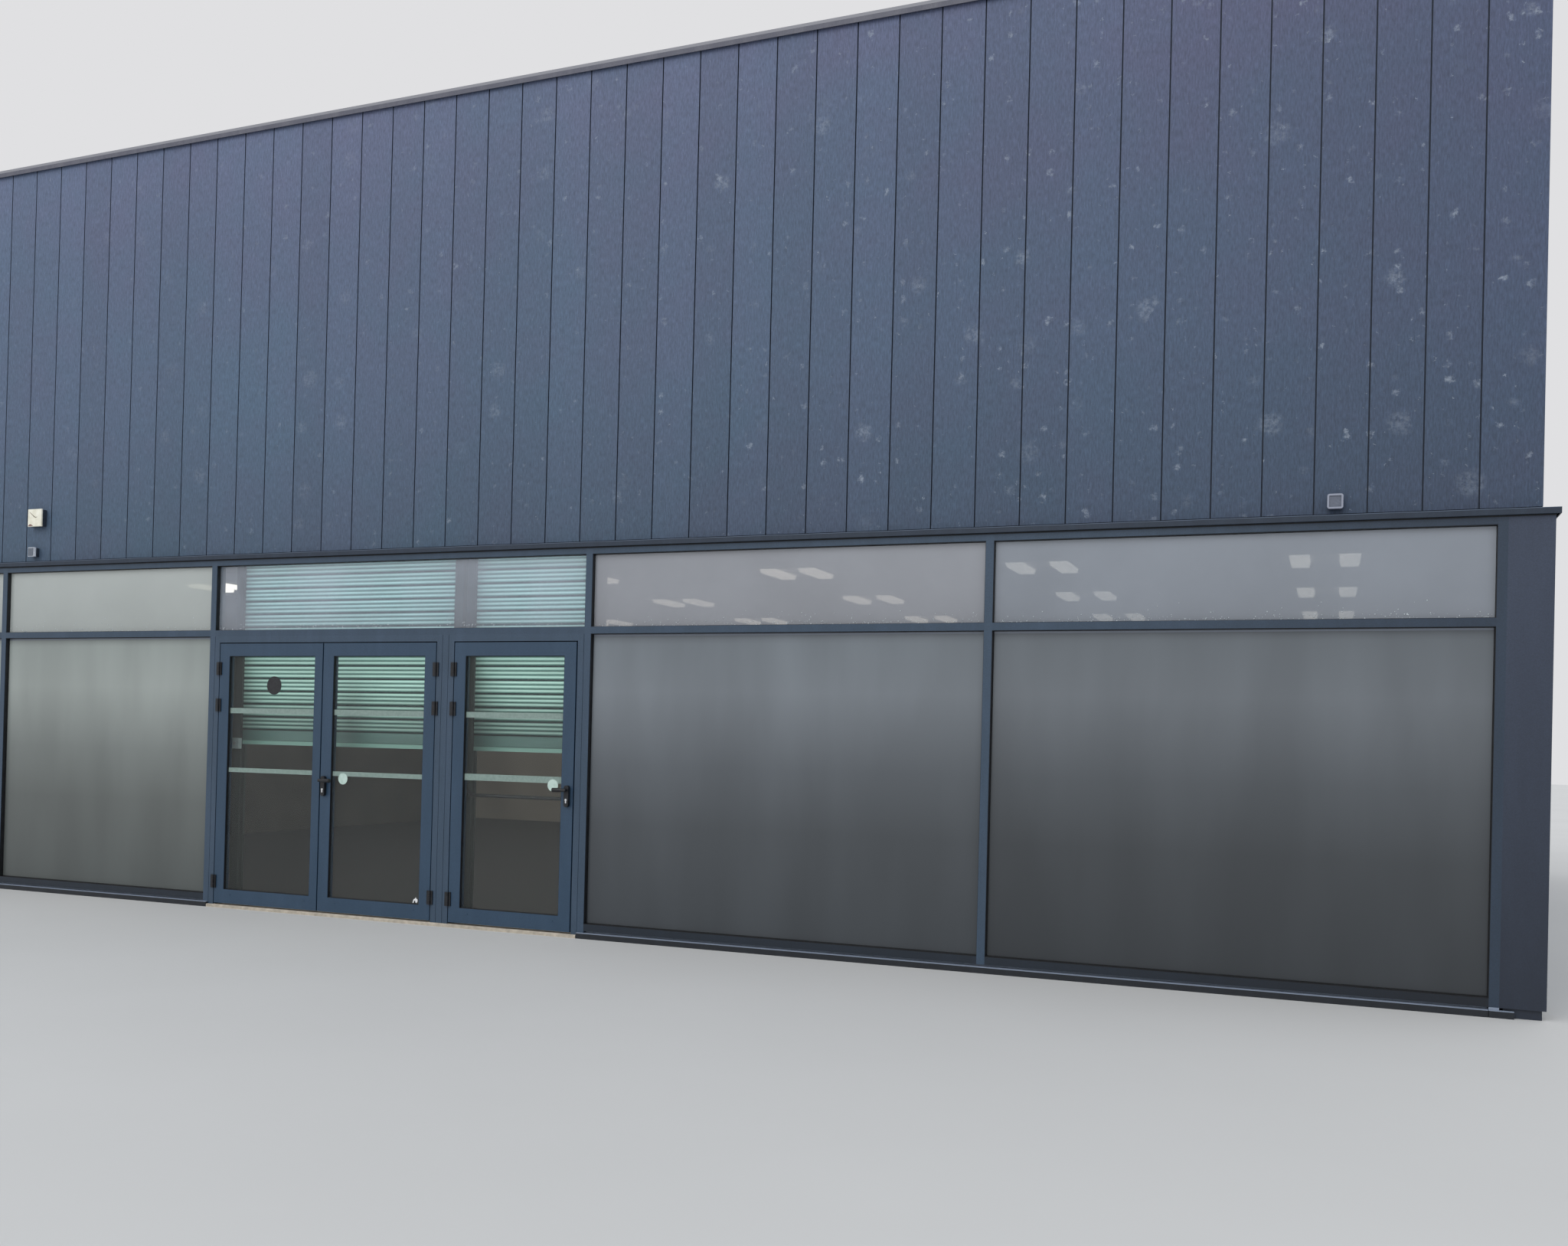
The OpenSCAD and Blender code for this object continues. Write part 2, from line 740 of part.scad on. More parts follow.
// Round-ended lock case on a stile, bored for the neck of the lever
module lock_plate(x) {
    r = plate_w / 2;
    top = lever_z + plate_rise;
    color(black_metal) layer(front_y - plate_t, plate_t) difference() {
        union() {
            translate([x - r, top - plate_h + r]) square([plate_w, plate_h - plate_w]);
            for (z = [top - r, top - plate_h + r]) translate([x, z]) circle(r = r, $fn = 48);
        }
        translate([x, lever_z]) circle(r = neck_r + pin_clear, $fn = 48);
    }
}

// Round lever that swells towards its grip, on a neck that turns in the lock case;
// side is the way it points
module lever(x, side) {
    bar_y = front_y - lever_out + lever_grip_r;
    edge = 4;
    heel = neck_r + edge + 2;
    tip = heel + lever_l;
    color(black_metal) {
        translate([x, front_y - 1, lever_z]) rotate([90, 0, 0])
            cylinder(h = front_y - 1 - bar_y, r = neck_r, $fn = 48);
        translate([x - side * heel, bar_y, lever_z]) rotate([0, side * 90, 0])
            rotate_extrude($fn = 48) polygon([
                [0, 0], [lever_root_r - edge, 0], [lever_root_r, edge],
                [lever_root_r, heel + neck_r], [lever_grip_r, heel + lever_l / 2],
                [lever_grip_r, tip - edge], [lever_grip_r - edge, tip], [0, tip]
            ]);
    }
}

// Covers that hold the pivots of the push bar on the inside of the single leaf
module push_bar_brackets() {
    y = front_y + leaf_t;
    z = push_bar_z + pivot_rise;
    color(black_metal) {
        for (x = [push_left_x, push_right_x])
            block([x, y, z - bracket_h / 2], [x + bracket_w, y + bracket_d, z + bracket_h / 2]);
        translate([push_left_x + bracket_w - 1, y + pivot_depth, z]) rotate([0, 90, 0])
            cylinder(h = arm_gap + arm_t + 1, r = push_pin_r, $fn = 32);
        translate([push_right_x - arm_gap - arm_t, y + pivot_depth, z]) rotate([0, 90, 0])
            cylinder(h = arm_gap + arm_t + 1, r = push_pin_r, $fn = 32);
    }
}

// Tube between two arms, each bored for its pivot pin
module push_bar() {
    y = front_y + leaf_t + pivot_depth;
    z = push_bar_z + pivot_rise;
    reach = norm([push_reach, pivot_rise]);
    x0 = push_left_x + bracket_w + arm_gap;
    x1 = push_right_x - arm_gap - arm_t;
    color(black_metal) {
        for (x = [x0, x1]) translate([x, y, z]) rotate([-atan(pivot_rise / push_reach), 0, 0])
            run_x(0, arm_t) difference() {
                union() {
                    circle(r = arm_r, $fn = 48);
                    translate([0, -arm_r]) square([reach, 2 * arm_r]);
                    translate([reach, 0]) circle(r = arm_r, $fn = 48);
                }
                circle(r = push_pin_r + pin_clear, $fn = 48);
            }
        translate([x0 + arm_t / 2, y + push_reach, push_bar_z]) rotate([0, 90, 0])
            cylinder(h = x1 - x0, r = push_tube_r, $fn = 48);
    }
}

module left_leaf_frame() {
    leaf_frame(left_leaf_x, left_leaf_w, stile_w, meeting_stile_w);
}

module left_leaf_glass() {
    leaf_glass(left_leaf_x, left_leaf_w, stile_w, meeting_stile_w);
}

module left_leaf_hinges() {
    color(black_metal) at_hinges(left_axis_x, 1) leaf_hinge();
}

module right_leaf_frame() {
    leaf_frame(right_leaf_x, right_leaf_w, stile_w, stile_w);
}

module right_leaf_glass() {
    leaf_glass(right_leaf_x, right_leaf_w, stile_w, stile_w);
}

module right_leaf_hinges() {
    color(black_metal) at_hinges(right_axis_x, -1) leaf_hinge();
}

module right_lock_plate() {
    lock_plate(right_lever_x);
}

module right_lever() {
    lever(right_lever_x, 1);
}

module single_leaf_frame() {
    leaf_frame(single_leaf_x, single_leaf_w, stile_w, stile_w);
}

module single_leaf_glass() {
    leaf_glass(single_leaf_x, single_leaf_w, stile_w, stile_w);
}

module single_leaf_hinges() {
    color(black_metal) at_hinges(single_axis_x, 1) leaf_hinge();
}

module single_lock_plate() {
    lock_plate(single_lever_x);
}

module single_lever() {
    lever(single_lever_x, -1);
}

// Sounder box with a sloping hood, fixed to the planks over the narrow bay
module alarm_siren() {
    centre_x = mullion_x(1) + mullion_w / 2 + 312;
    low_z = cladding_z + 301;
    color("#cfc8b6") run_x(centre_x - siren_w / 2, centre_x + siren_w / 2)
        translate([wall_y, low_z]) polygon([
            [0, 0], [0, siren_h], [-siren_d * 0.55, siren_h], [-siren_d, siren_h * 0.75],
            [-siren_d, siren_h * 0.1], [-siren_d * 0.8, 0]
        ]);
}

module wall_sensor() {
    centre_x = mullion_x(1) + mullion_w / 2 + 286;
    low_z = cladding_z + 35;
    color("#30343a") block([centre_x - sensor_w / 2, wall_y - sensor_d, low_z],
        [centre_x + sensor_w / 2, wall_y, low_z + sensor_h]);
}

module rounded_square(side, r) {
    half = side / 2 - r;
    square([side, 2 * half], center = true);
    square([2 * half, side], center = true);
    for (x = [-half, half], z = [-half, half]) translate([x, z]) circle(r = r, $fn = 32);
}

// Square lamp with a sunk lens inside its rim, on a set-back foot
module wall_lamp() {
    centre_x = mullion_x(bay_count) + mullion_w / 2 - 901;
    mid_z = cladding_z + 21 + lamp_w / 2;
    foot = 12;
    rim = 11;
    lens_set = 7;
    corner = 14;
    color("#5a6068") translate([centre_x, 0, mid_z]) {
        layer(wall_y - lamp_d, lens_set) difference() {
            rounded_square(lamp_w, corner);
            rounded_square(lamp_w - 2 * rim, corner - rim);
        }
        layer(wall_y - lamp_d + lens_set, lamp_d - lens_set - foot)
            rounded_square(lamp_w, corner);
        layer(wall_y - foot, foot) rounded_square(lamp_w - 2 * foot, corner - foot);
    }
}

floor_slab();
door_threshold();
front_wall();
left_wall();
right_wall();
rear_wall();
front_cladding();
left_cladding();
right_cladding();
rear_cladding();
corner_piers();
ledge_flashing();
coping();
roof_deck();
roof_membrane();
ceiling();
ceiling_lights();
mullions();
shopfront_rails();
sill_flashings();
door_jambs();
door_heads();
transom_panes();
lower_panes();
privacy_films();
shutter_curtains();
shutter_casings();
frame_hinges();
alarm_siren();
wall_sensor();
wall_lamp();
left_leaf_frame();
left_leaf_glass();
left_leaf_hinges();
right_leaf_frame();
right_leaf_glass();
right_leaf_hinges();
right_lock_plate();
right_lever();
single_leaf_frame();
single_leaf_glass();
single_leaf_hinges();
single_lock_plate();
single_lever();
push_bar_brackets();
push_bar();
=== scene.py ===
import math
import random

import bmesh
import bpy
from mathutils import Matrix, Vector


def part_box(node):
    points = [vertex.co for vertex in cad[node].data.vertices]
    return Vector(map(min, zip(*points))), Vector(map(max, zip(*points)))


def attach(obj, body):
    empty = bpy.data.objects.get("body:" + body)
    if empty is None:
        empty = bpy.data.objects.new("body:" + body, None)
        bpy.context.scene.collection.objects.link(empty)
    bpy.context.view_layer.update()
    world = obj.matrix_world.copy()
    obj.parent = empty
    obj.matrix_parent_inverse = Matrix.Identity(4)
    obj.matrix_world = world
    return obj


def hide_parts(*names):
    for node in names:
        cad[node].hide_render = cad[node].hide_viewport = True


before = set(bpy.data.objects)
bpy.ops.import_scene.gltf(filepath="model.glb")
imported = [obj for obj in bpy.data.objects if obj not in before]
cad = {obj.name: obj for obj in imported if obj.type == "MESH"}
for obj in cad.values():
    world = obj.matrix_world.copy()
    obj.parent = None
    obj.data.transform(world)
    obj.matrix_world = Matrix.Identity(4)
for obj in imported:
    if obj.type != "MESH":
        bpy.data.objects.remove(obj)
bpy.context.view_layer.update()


# Camera: held at eye height in front of the right-hand bay and turned towards the doors.
# Its place and tilt come from the lines of the building in the photograph. They fix the
# focal length only loosely, so it is a round value that fits them.
photo_w = 2048
focal_px = 1800
axis_below_middle_px = 141.9
eye = (6.636, -14.843, 1.467)
yaw, pitch, roll = -0.3817, 0.0087, 0.0246
forward = Vector((math.sin(yaw) * math.cos(pitch), math.cos(yaw) * math.cos(pitch),
                  math.sin(pitch)))
level = Vector((math.cos(yaw), -math.sin(yaw), 0))
upright = level.cross(forward)
right = level * math.cos(roll) + upright * math.sin(roll)
up = upright * math.cos(roll) - level * math.sin(roll)
lens = bpy.data.cameras.new("camera")
lens.sensor_fit = "HORIZONTAL"
lens.sensor_width = 36
lens.lens = lens.sensor_width * focal_px / photo_w
lens.shift_y = axis_below_middle_px / photo_w
lens.clip_end = 400
camera = bpy.data.objects.new("camera", lens)
camera.matrix_world = (Matrix.Translation(eye)
                       @ Matrix((right, up, -forward)).transposed().to_4x4())
bpy.context.scene.collection.objects.link(camera)
bpy.context.scene.camera = camera
bpy.context.scene.view_settings.view_transform = "Standard"


# Floor and light: a pale concrete studio floor under an even overcast sky, with a wide soft
# sun from above the front. Hidden lamps stand for the lit sales hall, and for the daylight
# that falls through the clear glass on the roller shutters.
def linear(hex_colour, alpha=1.0):
    """Turns an sRGB hex colour into the linear one that Blender's sockets take."""
    parts = [int(hex_colour[i:i + 2], 16) / 255 for i in (1, 3, 5)]
    return [p / 12.92 if p <= 0.04045 else ((p + 0.055) / 1.055) ** 2.4 for p in parts] + [alpha]


def add(tree, kind, inputs=(), **settings):
    """Adds a node: inputs by name or number take a value, a hex colour or another node's output."""
    node = tree.nodes.new("ShaderNode" + kind)
    for name, value in settings.items():
        setattr(node, name, value)
    for name, value in dict(inputs).items():
        if isinstance(value, bpy.types.Node):
            value = value.outputs[0]
        if isinstance(value, bpy.types.NodeSocket):
            tree.links.new(value, node.inputs[name])
        else:
            node.inputs[name].default_value = linear(value) if isinstance(value, str) else value
    return node


def calc(tree, operation, *values):
    """A Math node on one or two values."""
    return add(tree, "Math", dict(enumerate(values)), operation=operation)


def ranged(tree, value, start, end, low=0.0, high=1.0, **settings):
    """Maps a value that runs from start to end on to the range from low to high."""
    return add(tree, "MapRange", {"Value": value, "From Min": start, "From Max": end,
                                  "To Min": low, "To Max": high}, **settings)


def noise(tree, vector, scale, detail=2.0, roughness=0.5):
    """Soft noise over a vector."""
    return add(tree, "TexNoise", {"Vector": vector, "Scale": scale, "Detail": detail,
                                  "Roughness": roughness})


def stretched(tree, vector, scales):
    """A vector scaled axis by axis, so that a pattern is drawn out along the small scales."""
    return add(tree, "VectorMath", {0: vector, 1: scales}, operation="MULTIPLY")


def ramp(tree, value, *stops):
    """Turns a value into a colour, by stops of a position and a hex colour."""
    node = add(tree, "ValToRGB", {"Fac": value})
    for place, (position, colour) in enumerate(stops):
        if place >= 2:
            node.color_ramp.elements.new(position)
        node.color_ramp.elements[place].position = position
        node.color_ramp.elements[place].color = linear(colour)
    return node


def blend(tree, share, first, second):
    """Goes from the first colour, at a share of 0, to the second, at 1."""
    return add(tree, "MixRGB", {"Fac": share, "Color1": first, "Color2": second})


def times(tree, base, factor, share=1.0):
    """Multiplies a colour by another colour or by a number."""
    return add(tree, "MixRGB", {"Fac": share, "Color1": base, "Color2": factor},
               blend_type="MULTIPLY")


def new_finish(name, **sockets):
    """A material with its Principled shader; returns material, node tree, shader and place."""
    material = bpy.data.materials.new(name)
    material.use_nodes = True
    tree = material.node_tree
    shader = tree.nodes["Principled BSDF"]
    for socket, value in sockets.items():
        shader.inputs[socket.replace("_", " ")].default_value = (
            linear(value) if isinstance(value, str) else value)
    return material, tree, shader, add(tree, "TexCoord").outputs["Object"]


def mottled(name, dark, pale, grain_mm, roughness, **sockets):
    """A finish whose colour wanders between two tones in patches about grain_mm wide."""
    material, tree, shader, place = new_finish(name, Roughness=roughness, **sockets)
    tone = ramp(tree, noise(tree, place, 1000 / grain_mm, 5.0), (0.32, dark), (0.70, pale))
    tree.links.new(tone.outputs[0], shader.inputs["Base Color"])
    return material


sky = bpy.data.worlds.new("overcast_sky")
bpy.context.scene.world = sky
sky.use_nodes = True
sky_nodes = sky.node_tree
rays = add(sky_nodes, "LightPath")
seen = calc(sky_nodes, "MAXIMUM", rays.outputs["Is Camera Ray"], rays.outputs["Is Glossy Ray"])
seen = calc(sky_nodes, "MAXIMUM", seen, rays.outputs["Is Transmission Ray"])
light = add(sky_nodes, "Background", {"Color": "#f4f7fb", "Strength": 0.95})
backdrop = add(sky_nodes, "Background", {"Color": "#e0e0e2", "Strength": 1.0})
chosen = add(sky_nodes, "MixShader", {0: seen, 1: light, 2: backdrop})
sky_nodes.links.new(chosen.outputs[0], sky_nodes.nodes["World Output"].inputs["Surface"])

soft_sun = bpy.data.lights.new("soft_sun", "SUN")
soft_sun.energy = 0.7
soft_sun.angle = math.radians(40)
sun = bpy.data.objects.new("soft_sun", soft_sun)
sun.rotation_euler = (math.radians(52), 0, math.radians(-18))
bpy.context.scene.collection.objects.link(sun)

for lamp_name, lamp_place, tilt, (wide, deep), watts in (
        ("hall_uplight", (0, 0.2, 2.7), math.pi, (14.0, 10.5), 120),
        ("hall_downlight", (0, 0.2, 3.15), 0, (14.0, 10.5), 240),
        ("double_shutter_light", (-0.90, -5.80, 2.34), math.pi / 2, (2.1, 1.2), 3.2),
        ("single_shutter_light", (0.88, -5.80, 2.34), math.pi / 2, (1.0, 1.2), 1.6)):
    glow = bpy.data.lights.new(lamp_name, "AREA")
    glow.shape = "RECTANGLE"
    glow.size, glow.size_y = wide, deep
    glow.energy = watts
    lamp = bpy.data.objects.new(lamp_name, glow)
    lamp.location = lamp_place
    lamp.rotation_euler = (tilt, 0, 0)
    lamp.visible_camera = False
    lamp.visible_glossy = False
    lamp.visible_transmission = False
    bpy.context.scene.collection.objects.link(lamp)


def mesh_piece(name, mesh, material):
    """Turns a bmesh, built in the frame's own coordinates, into an object."""
    bmesh.ops.recalc_face_normals(mesh, faces=mesh.faces)
    data = bpy.data.meshes.new(name)
    mesh.to_mesh(data)
    mesh.free()
    data.materials.append(material)
    piece = bpy.data.objects.new(name, data)
    bpy.context.scene.collection.objects.link(piece)
    return piece


floor_mesh = bmesh.new()
bmesh.ops.create_grid(floor_mesh, x_segments=8, y_segments=8, size=90)
studio_floor = mesh_piece("studio_floor", floor_mesh,
                          mottled("brushed_concrete", "#cdcdcc", "#d1d1d0", 2900, 0.85))


# Plank cladding: fibre-cement boards with a pressed wood grain, painted blue-grey and nailed
# upright to rails, with an open joint between boards. Weather has left pale spots, and no
# board has quite the tone of its neighbour. Painted light makes the boards paler towards the
# top, and painted shade darkens them towards the right-hand end and along every joint.
plank_w = 0.300
end_plank_w = 0.330
joint_half = 0.0045
grain_w = 0.009


def dress(material, *names):
    """Gives a CAD node's whole surface one finish."""
    for name in names:
        for slot in cad[name].material_slots:
            slot.material = material


def plank_finish(name, along, joint, low_joint, last_board=99):
    """Painted boards whose joints are counted from joint, or from low_joint below the ledge.
    The last board runs on without a joint, so it may be wider than the others."""
    painted_light_low_z, painted_light_high_z = 2.9, 6.5
    shade_run_end = 7.7
    board_jump = 3.0
    ledge_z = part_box("ledge_flashing")[1].z
    material, tree, shader, place = new_finish(name, Roughness=0.62)
    axes = add(tree, "SeparateXYZ", {0: place})
    run, height = axes.outputs[along], axes.outputs["Z"]
    start = ranged(tree, height, ledge_z - 0.001, ledge_z, low_joint, joint)
    counted = calc(tree, "DIVIDE", calc(tree, "SUBTRACT", run, start), plank_w)
    counted = calc(tree, "MINIMUM", counted, last_board + 0.9)
    board = calc(tree, "FLOOR", counted)
    board_tone = add(tree, "TexWhiteNoise", {"W": board}, noise_dimensions="1D")

    # Paint: the boards' blue-grey, with painted light that makes them paler and more violet
    # towards the top and painted shade that makes them darker towards the right-hand end.
    painted_light_rise = ranged(tree, height, painted_light_low_z, painted_light_high_z)
    base = ramp(tree, painted_light_rise, (0.0, "#45576a"), (0.35, "#506278"), (0.75, "#57657d"),
                (1.0, "#606a84"))
    right_end_shade = ranged(tree, run, -shade_run_end, shade_run_end)
    base = times(tree, base, ramp(tree, right_end_shade, (0.0, "#ffffff"), (0.6, "#fafafa"),
                                  (1.0, "#dcd4de")))
    cloud = ranged(tree, noise(tree, place, 1.1, 5.0, 0.6), 0.38, 0.66)
    base = times(tree, base, blend(tree, cloud, "#f0fcff", "#fff4fc"), share=0.8)
    base = times(tree, base, ranged(tree, board_tone, 0.0, 1.0, 0.94, 1.05))

    # Grain: raised strokes about 9 mm wide and five times as long, a shade paler on top,
    # with wider brush marks in the paint. Both start anew on each board.
    shifted = add(tree, "CombineXYZ", {"X": run, "Y": board, "Z": height})
    grain = noise(tree, stretched(tree, shifted, (1 / grain_w, board_jump, 1 / (5 * grain_w))),
                  1.0, 3.0, 0.65)
    base = times(tree, base, ranged(tree, grain, 0.35, 0.72, 0.84, 1.34))
    brushed = noise(tree, stretched(tree, shifted, (45.0, board_jump, 7.0)), 1.0, 4.0, 0.75)
    base = times(tree, base, ranged(tree, brushed, 0.35, 0.70, 0.93, 1.13))

    # Weather spots: ragged pale blooms up to 200 mm wide, patches up to 60 mm and flecks up
    # to 16 mm, at most one in each cell of their pattern. They are fainter towards the left.
    flat = add(tree, "CombineXYZ", {"X": run, "Y": height})
    ragged = noise(tree, flat, 14.0, 6.0, 0.8)
    bent = add(tree, "VectorMath", {0: ragged.outputs["Color"], 1: (0.13, 0.13, 0.0), 2: flat},
               operation="MULTIPLY_ADD")
    mottle = ranged(tree, noise(tree, flat, 32.0, 5.0, 0.7), 0.40, 0.60)
    weather = ranged(tree, run, -3.0, 4.5, 0.35, 1.0)
    for cell, spot_r, share, strength in ((0.37, 0.100, 0.75, 0.36), (0.14, 0.030, 0.60, 0.60),
                                          (0.062, 0.0080, 0.60, 0.80)):
        cells = add(tree, "TexVoronoi", {"Vector": bent, "Scale": 1 / cell},
                    voronoi_dimensions="2D")
        dice = add(tree, "SeparateXYZ", {0: cells.outputs["Color"]})
        size = ranged(tree, dice.outputs["X"], 1 - share, 1.0, 0.0, spot_r / cell)
        inside = calc(tree, "SUBTRACT", size, cells.outputs["Distance"])
        spot = ranged(tree, inside, 0.0, 0.6 * spot_r / cell, 0.0, strength,
                      interpolation_type="SMOOTHSTEP")
        for factor in (dice.outputs["Y"], mottle, weather):
            spot = calc(tree, "MULTIPLY", spot, factor)
        base = blend(tree, spot, base, "#a9b3c0")

    # Joints: each open joint is painted as a thin dark line, a painted shade that deepens the
    # shadow in the groove.
    from_joint = calc(tree, "PINGPONG", counted, 0.5)
    joint_shade = ranged(tree, from_joint, joint_half / plank_w, 1.2 * joint_half / plank_w, 0.85, 0.0)
    base = blend(tree, joint_shade, base, "#2f3a4b")
    tree.links.new(base.outputs[0], shader.inputs["Base Color"])

    relief = add(tree, "Bump", {"Height": grain, "Strength": 0.6, "Distance": 0.0012})
    tree.links.new(relief.outputs[0], shader.inputs["Normal"])
    return material


front_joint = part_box("front_cladding")[1].x - end_plank_w
middle_y = (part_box("corner_piers")[0].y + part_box("corner_piers")[1].y) / 2
half_plank = plank_w / 2
dress(plank_finish("painted_boards_front", "X", front_joint, front_joint, last_board=0),
      "front_cladding")
dress(plank_finish("painted_boards_rear", "X", 0.0, half_plank), "rear_cladding")
dress(plank_finish("painted_boards_sides", "Y", middle_y, middle_y + half_plank),
      "left_cladding", "right_cladding")


# Ledge and coping: folded aluminium sheet in dark powder coat, clipped over the joint
# between upper wall and shopfront and over the top of the wall. Rain has greyed the coping.
# The top arris of each is painted pale, a painted highlight, and a thin black strip under the
# ledge is painted shadow, standing for the shade beneath it.
def sheet_finish(name, colour, streak_colour, streaks, roughness, edge=None, fades=()):
    """Powder coat with rain marks that run down it. An edge is a height and a colour: the
    coat above that height has it, a painted highlight along the top arris. A fade is an axis,
    where along it the full colour is left, where the fade ends, and the tone that it ends in."""
    material, tree, shader, place = new_finish(name, Roughness=roughness)
    marks = noise(tree, stretched(tree, place, (9.0, 9.0, 1.4)), 1.0, 5.0, 0.6)
    base = blend(tree, ranged(tree, marks, 0.42, 0.68, 0.0, streaks), colour, streak_colour)
    fleck = noise(tree, place, 130.0, 3.0)
    base = times(tree, base, ranged(tree, fleck, 0.35, 0.65, 0.90, 1.10))
    axes = add(tree, "SeparateXYZ", {0: place})
    for axis, start, end, tone in fades:
        faded = ranged(tree, axes.outputs[axis], start, end)
        base = times(tree, base, ramp(tree, faded, (0.0, "#ffffff"), (1.0, tone)))
    # The coat above the edge's height is painted pale: a painted highlight on the arris.
    if edge:
        highlight_z, highlight_colour = edge
        above = calc(tree, "GREATER_THAN", axes.outputs["Z"], highlight_z)
        base = blend(tree, above, base, highlight_colour)
    tree.links.new(base.outputs[0], shader.inputs["Base Color"])
    relief = add(tree, "Bump", {"Height": noise(tree, place, 220.0, 1.0), "Strength": 0.15,
                                "Distance": 0.0004})
    tree.links.new(relief.outputs[0], shader.inputs["Normal"])
    return material


def bridge(mesh, one, two):
    """Joins two loops of equally many vertices with a band of faces."""
    for i in range(len(one)):
        j = (i + 1) % len(one)
        mesh.faces.new((one[i], one[j], two[j], two[i]))


ledge_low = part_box("ledge_flashing")[0]
ledge_highlight_z = ledge_low.z + 0.0325
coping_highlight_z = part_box("coping")[1].z - 0.022
# The top arris of ledge and coping is painted pale, a painted highlight.
dress(sheet_finish("powder_coated_ledge_sheet", "#1c2a3b", "#283749", 0.6, 0.48,
                   edge=(ledge_highlight_z, "#566376")), "ledge_flashing")
dress(sheet_finish("weathered_coping_sheet", "#565764", "#6a6a73", 0.6, 0.5,
                   edge=(coping_highlight_z, "#8b8b92")), "coping")

# Black rubber for the gaskets. The same black also serves as painted shade for the strip under the
# ledge and for the rebate liners.
black_rubber_and_shade = mottled("black_rubber_and_painted_shade", "#0b0d11", "#1b1e23", 70, 0.55)
pier_low, pier_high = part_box("corner_piers")
# A thin black strip round the building under the ledge: painted shadow, standing for the shade
# beneath the ledge.
shadow_strip_h = 0.008
shadow_strip_t = 0.0015
shadow_strip_gap = 0.0003
shadow_strip_mesh = bmesh.new()
corners = []
for out in (shadow_strip_t, -shadow_strip_t):
    for z in (ledge_low.z - shadow_strip_h, ledge_low.z - shadow_strip_gap):
        corners.append([shadow_strip_mesh.verts.new((x, y, z)) for x, y in (
            (pier_low.x - out, pier_low.y - out), (pier_high.x + out, pier_low.y - out),
            (pier_high.x + out, pier_high.y + out), (pier_low.x - out, pier_high.y + out))])
outer_low, outer_top, inner_low, inner_top = corners
for one, two in ((outer_low, outer_top), (outer_top, inner_top), (inner_top, inner_low),
                 (inner_low, outer_low)):
    bridge(shadow_strip_mesh, one, two)
ledge_shadow_strip = mesh_piece("ledge_shadow_strip", shadow_strip_mesh, black_rubber_and_shade)
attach(ledge_shadow_strip, "building")


# Corner piers: tall boxes of folded sheet that close the ends of the shopfront, painted
# darker towards the foot: a painted shade, for the weaker light that reaches them low down.
dress(sheet_finish("powder_coated_pier_sheet", "#333d50", "#3b465a", 0.5, 0.48,
                   fades=(("Z", 2.6, 0.2, "#a9b0b4"),)), "corner_piers")


# Shopfront bars: extruded aluminium mullions and rails in anthracite powder coat, screwed
# together on a sill flashing. Every pane sits in a black rubber gasket, and a black liner down
# the sides of each rebate is painted shade. The bars are painted darker towards the right-hand
# end, a painted shade, the rails are darker towards the foot, and the sill's top arris is
# painted pale, a painted highlight.
# Painted shade: the bars darken towards the right-hand end.
painted_shade_right = ("X", 5.0, 7.4, "#c4c6cc")
# The rails are darker towards the foot.
darker_foot = ("Z", 0.5, 0.15, "#7f868c")
sill_highlight_z = 0.0385
dress(sheet_finish("powder_coated_bars", "#34475a", "#3e5167", 0.5, 0.40, fades=(painted_shade_right,)),
      "mullions", "door_jambs", "door_heads")
dress(sheet_finish("powder_coated_rails", "#314457", "#3b4e64", 0.5, 0.40,
                   fades=(painted_shade_right, darker_foot)), "shopfront_rails")
# The sill's top arris is painted pale: a painted highlight.
dress(sheet_finish("powder_coated_sill", "#151a21", "#21272f", 0.6, 0.40,
                   edge=(sill_highlight_z, "#8792a3")), "sill_flashings")


def ring(mesh, low, high, width, y0, y1):
    """Adds a flat rectangular ring in X and Z between two corners, from y0 to y1."""
    inner_low = (low[0] + width, low[1] + width)
    inner_high = (high[0] - width, high[1] - width)
    loops = []
    for y in (y0, y1):
        for a, b in ((low, high), (inner_low, inner_high)):
            loops.append([mesh.verts.new((x, y, z)) for x, z in (
                (a[0], a[1]), (b[0], a[1]), (b[0], b[1]), (a[0], b[1]))])
    outer_front, inner_front, outer_back, inner_back = loops
    for one, two in ((outer_front, inner_front), (inner_front, inner_back),
                     (inner_back, outer_back), (outer_back, outer_front)):
        bridge(mesh, one, two)


def pane_spans(node):
    """Left and right edges of the panes in a CAD node that holds several, in order."""
    edges = sorted({round(v.co.x, 4) for v in cad[node].data.vertices})
    return list(zip(edges[0::2], edges[1::2]))


pane_edge = 0.008
gasket_w = 0.005
gasket_out = 0.002
rebate_shade_w = 0.0025
rebate_shade_in = 0.004
front_y = pier_low.y
pane_gasket_and_shade_mesh = bmesh.new()
for node in ("transom_panes", "lower_panes"):
    pane_low, pane_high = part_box(node)
    for x0, x1 in pane_spans(node):
        low = (x0 + pane_edge, pane_low.z + pane_edge)
        high = (x1 - pane_edge, pane_high.z - pane_edge)
        ring(pane_gasket_and_shade_mesh, low, high, gasket_w, pane_low.y - gasket_out, pane_low.y)
        # The liner lines the sides of the rebate in black: painted shade, for the shadow inside it.
        ring(pane_gasket_and_shade_mesh, low, high, rebate_shade_w, front_y + rebate_shade_in, pane_low.y - gasket_out)
pane_gaskets_and_rebate_shade = mesh_piece("pane_gaskets_and_rebate_shade", pane_gasket_and_shade_mesh, black_rubber_and_shade)
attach(pane_gaskets_and_rebate_shade, "building")


